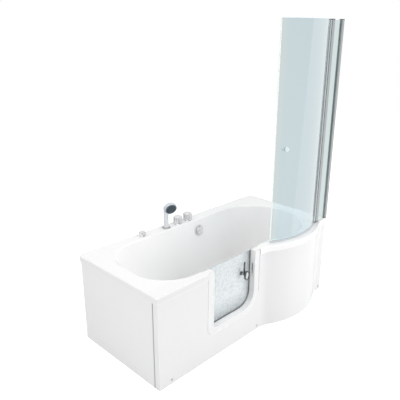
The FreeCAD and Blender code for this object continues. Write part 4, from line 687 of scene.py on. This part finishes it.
def studio_world():
    """Soft light all round: white behind the part, and for gloss grey bands and a bright side."""
    world = bpy.data.worlds.new("studio_world")
    world.use_nodes = True
    scene.world = world
    tree = world.node_tree
    tree.nodes.clear()
    rays = add(tree, "ShaderNodeLightPath")
    bands = ramp(tree, across(tree, UP, BANDS_LOW, BANDS_HIGH, "Generated"), *BANDS)
    bright_side = least(tree, across(tree, BRIGHT_WAY, BRIGHT_START, BRIGHT_FULL, "Generated"),
                        across(tree, BACK, BRIGHT_BACK_END, BRIGHT_BACK, "Generated"))
    ambient = add(tree, "ShaderNodeBackground", {"Strength": AMBIENT_LEVEL})
    dim = add(tree, "ShaderNodeBackground")
    tree.links.new(bands, dim.inputs["Color"])
    bright = add(tree, "ShaderNodeBackground", {"Strength": BRIGHT_LEVEL})
    mirrored = add(tree, "ShaderNodeMixShader")
    tree.links.new(bright_side, mirrored.inputs["Fac"])
    tree.links.new(dim.outputs["Background"], mirrored.inputs[1])
    tree.links.new(bright.outputs["Background"], mirrored.inputs[2])
    behind = add(tree, "ShaderNodeBackground", {"Strength": BEHIND_GLASS_LEVEL})
    backdrop = add(tree, "ShaderNodeBackground", {"Strength": BACKDROP_LEVEL})
    for plain in (ambient, bright, behind, backdrop):
        plain.inputs["Color"].default_value = (1, 1, 1, 1)
    output = add(tree, "ShaderNodeOutputWorld")
    last = ambient.outputs["Background"]
    for ray, shown in (("Is Glossy Ray", mirrored), ("Is Transmission Ray", behind),
                       ("Is Camera Ray", backdrop)):
        mix = add(tree, "ShaderNodeMixShader")
        tree.links.new(rays.outputs[ray], mix.inputs["Fac"])
        tree.links.new(last, mix.inputs[1])
        tree.links.new(shown.outputs[0], mix.inputs[2])
        last = mix.outputs["Shader"]
    tree.links.new(last, output.inputs["Surface"])


def area_lamp(name, place, aim, size, power, mirrored):
    """A large soft lamp that points at a place, and that gloss and glass show or leave out."""
    data = bpy.data.lights.new(name, "AREA")
    data.shape = "SQUARE"
    data.size = size
    data.energy = power
    lamp = bpy.data.objects.new(name, data)
    lamp.location = place
    lamp.visible_glossy = mirrored
    lamp.visible_transmission = mirrored
    lamp.rotation_mode = "QUATERNION"
    lamp.rotation_quaternion = (Vector(aim) - Vector(place)).to_track_quat("-Z", "Y")
    scene.collection.objects.link(lamp)


def photo_camera():
    """The camera at the photograph's place, with its angle of view."""
    turn, rise, roll = (math.radians(a) for a in (CAMERA_AZIMUTH, CAMERA_ELEVATION, CAMERA_ROLL))
    back = Vector((math.sin(turn) * math.cos(rise), -math.cos(turn) * math.cos(rise), math.sin(rise)))
    right = Vector((math.cos(turn), math.sin(turn), 0))
    up = back.cross(right)
    side = math.cos(roll) * right + math.sin(roll) * up
    top = math.cos(roll) * up - math.sin(roll) * right
    data = bpy.data.cameras.new("photo_camera")
    data.sensor_width = SENSOR_WIDTH
    data.lens = FOCAL_PIXELS / IMAGE_SIZE * SENSOR_WIDTH
    camera = bpy.data.objects.new("photo_camera", data)
    turned = Matrix((side, top, back)).transposed().to_4x4()
    camera.matrix_world = Matrix.Translation(CAMERA_PLACE) @ turned
    scene.collection.objects.link(camera)
    scene.camera = camera


studio_floor()
studio_world()
for lamp_settings in LAMPS:
    area_lamp(*lamp_settings)
photo_camera()
scene.view_settings.view_transform = "Standard"
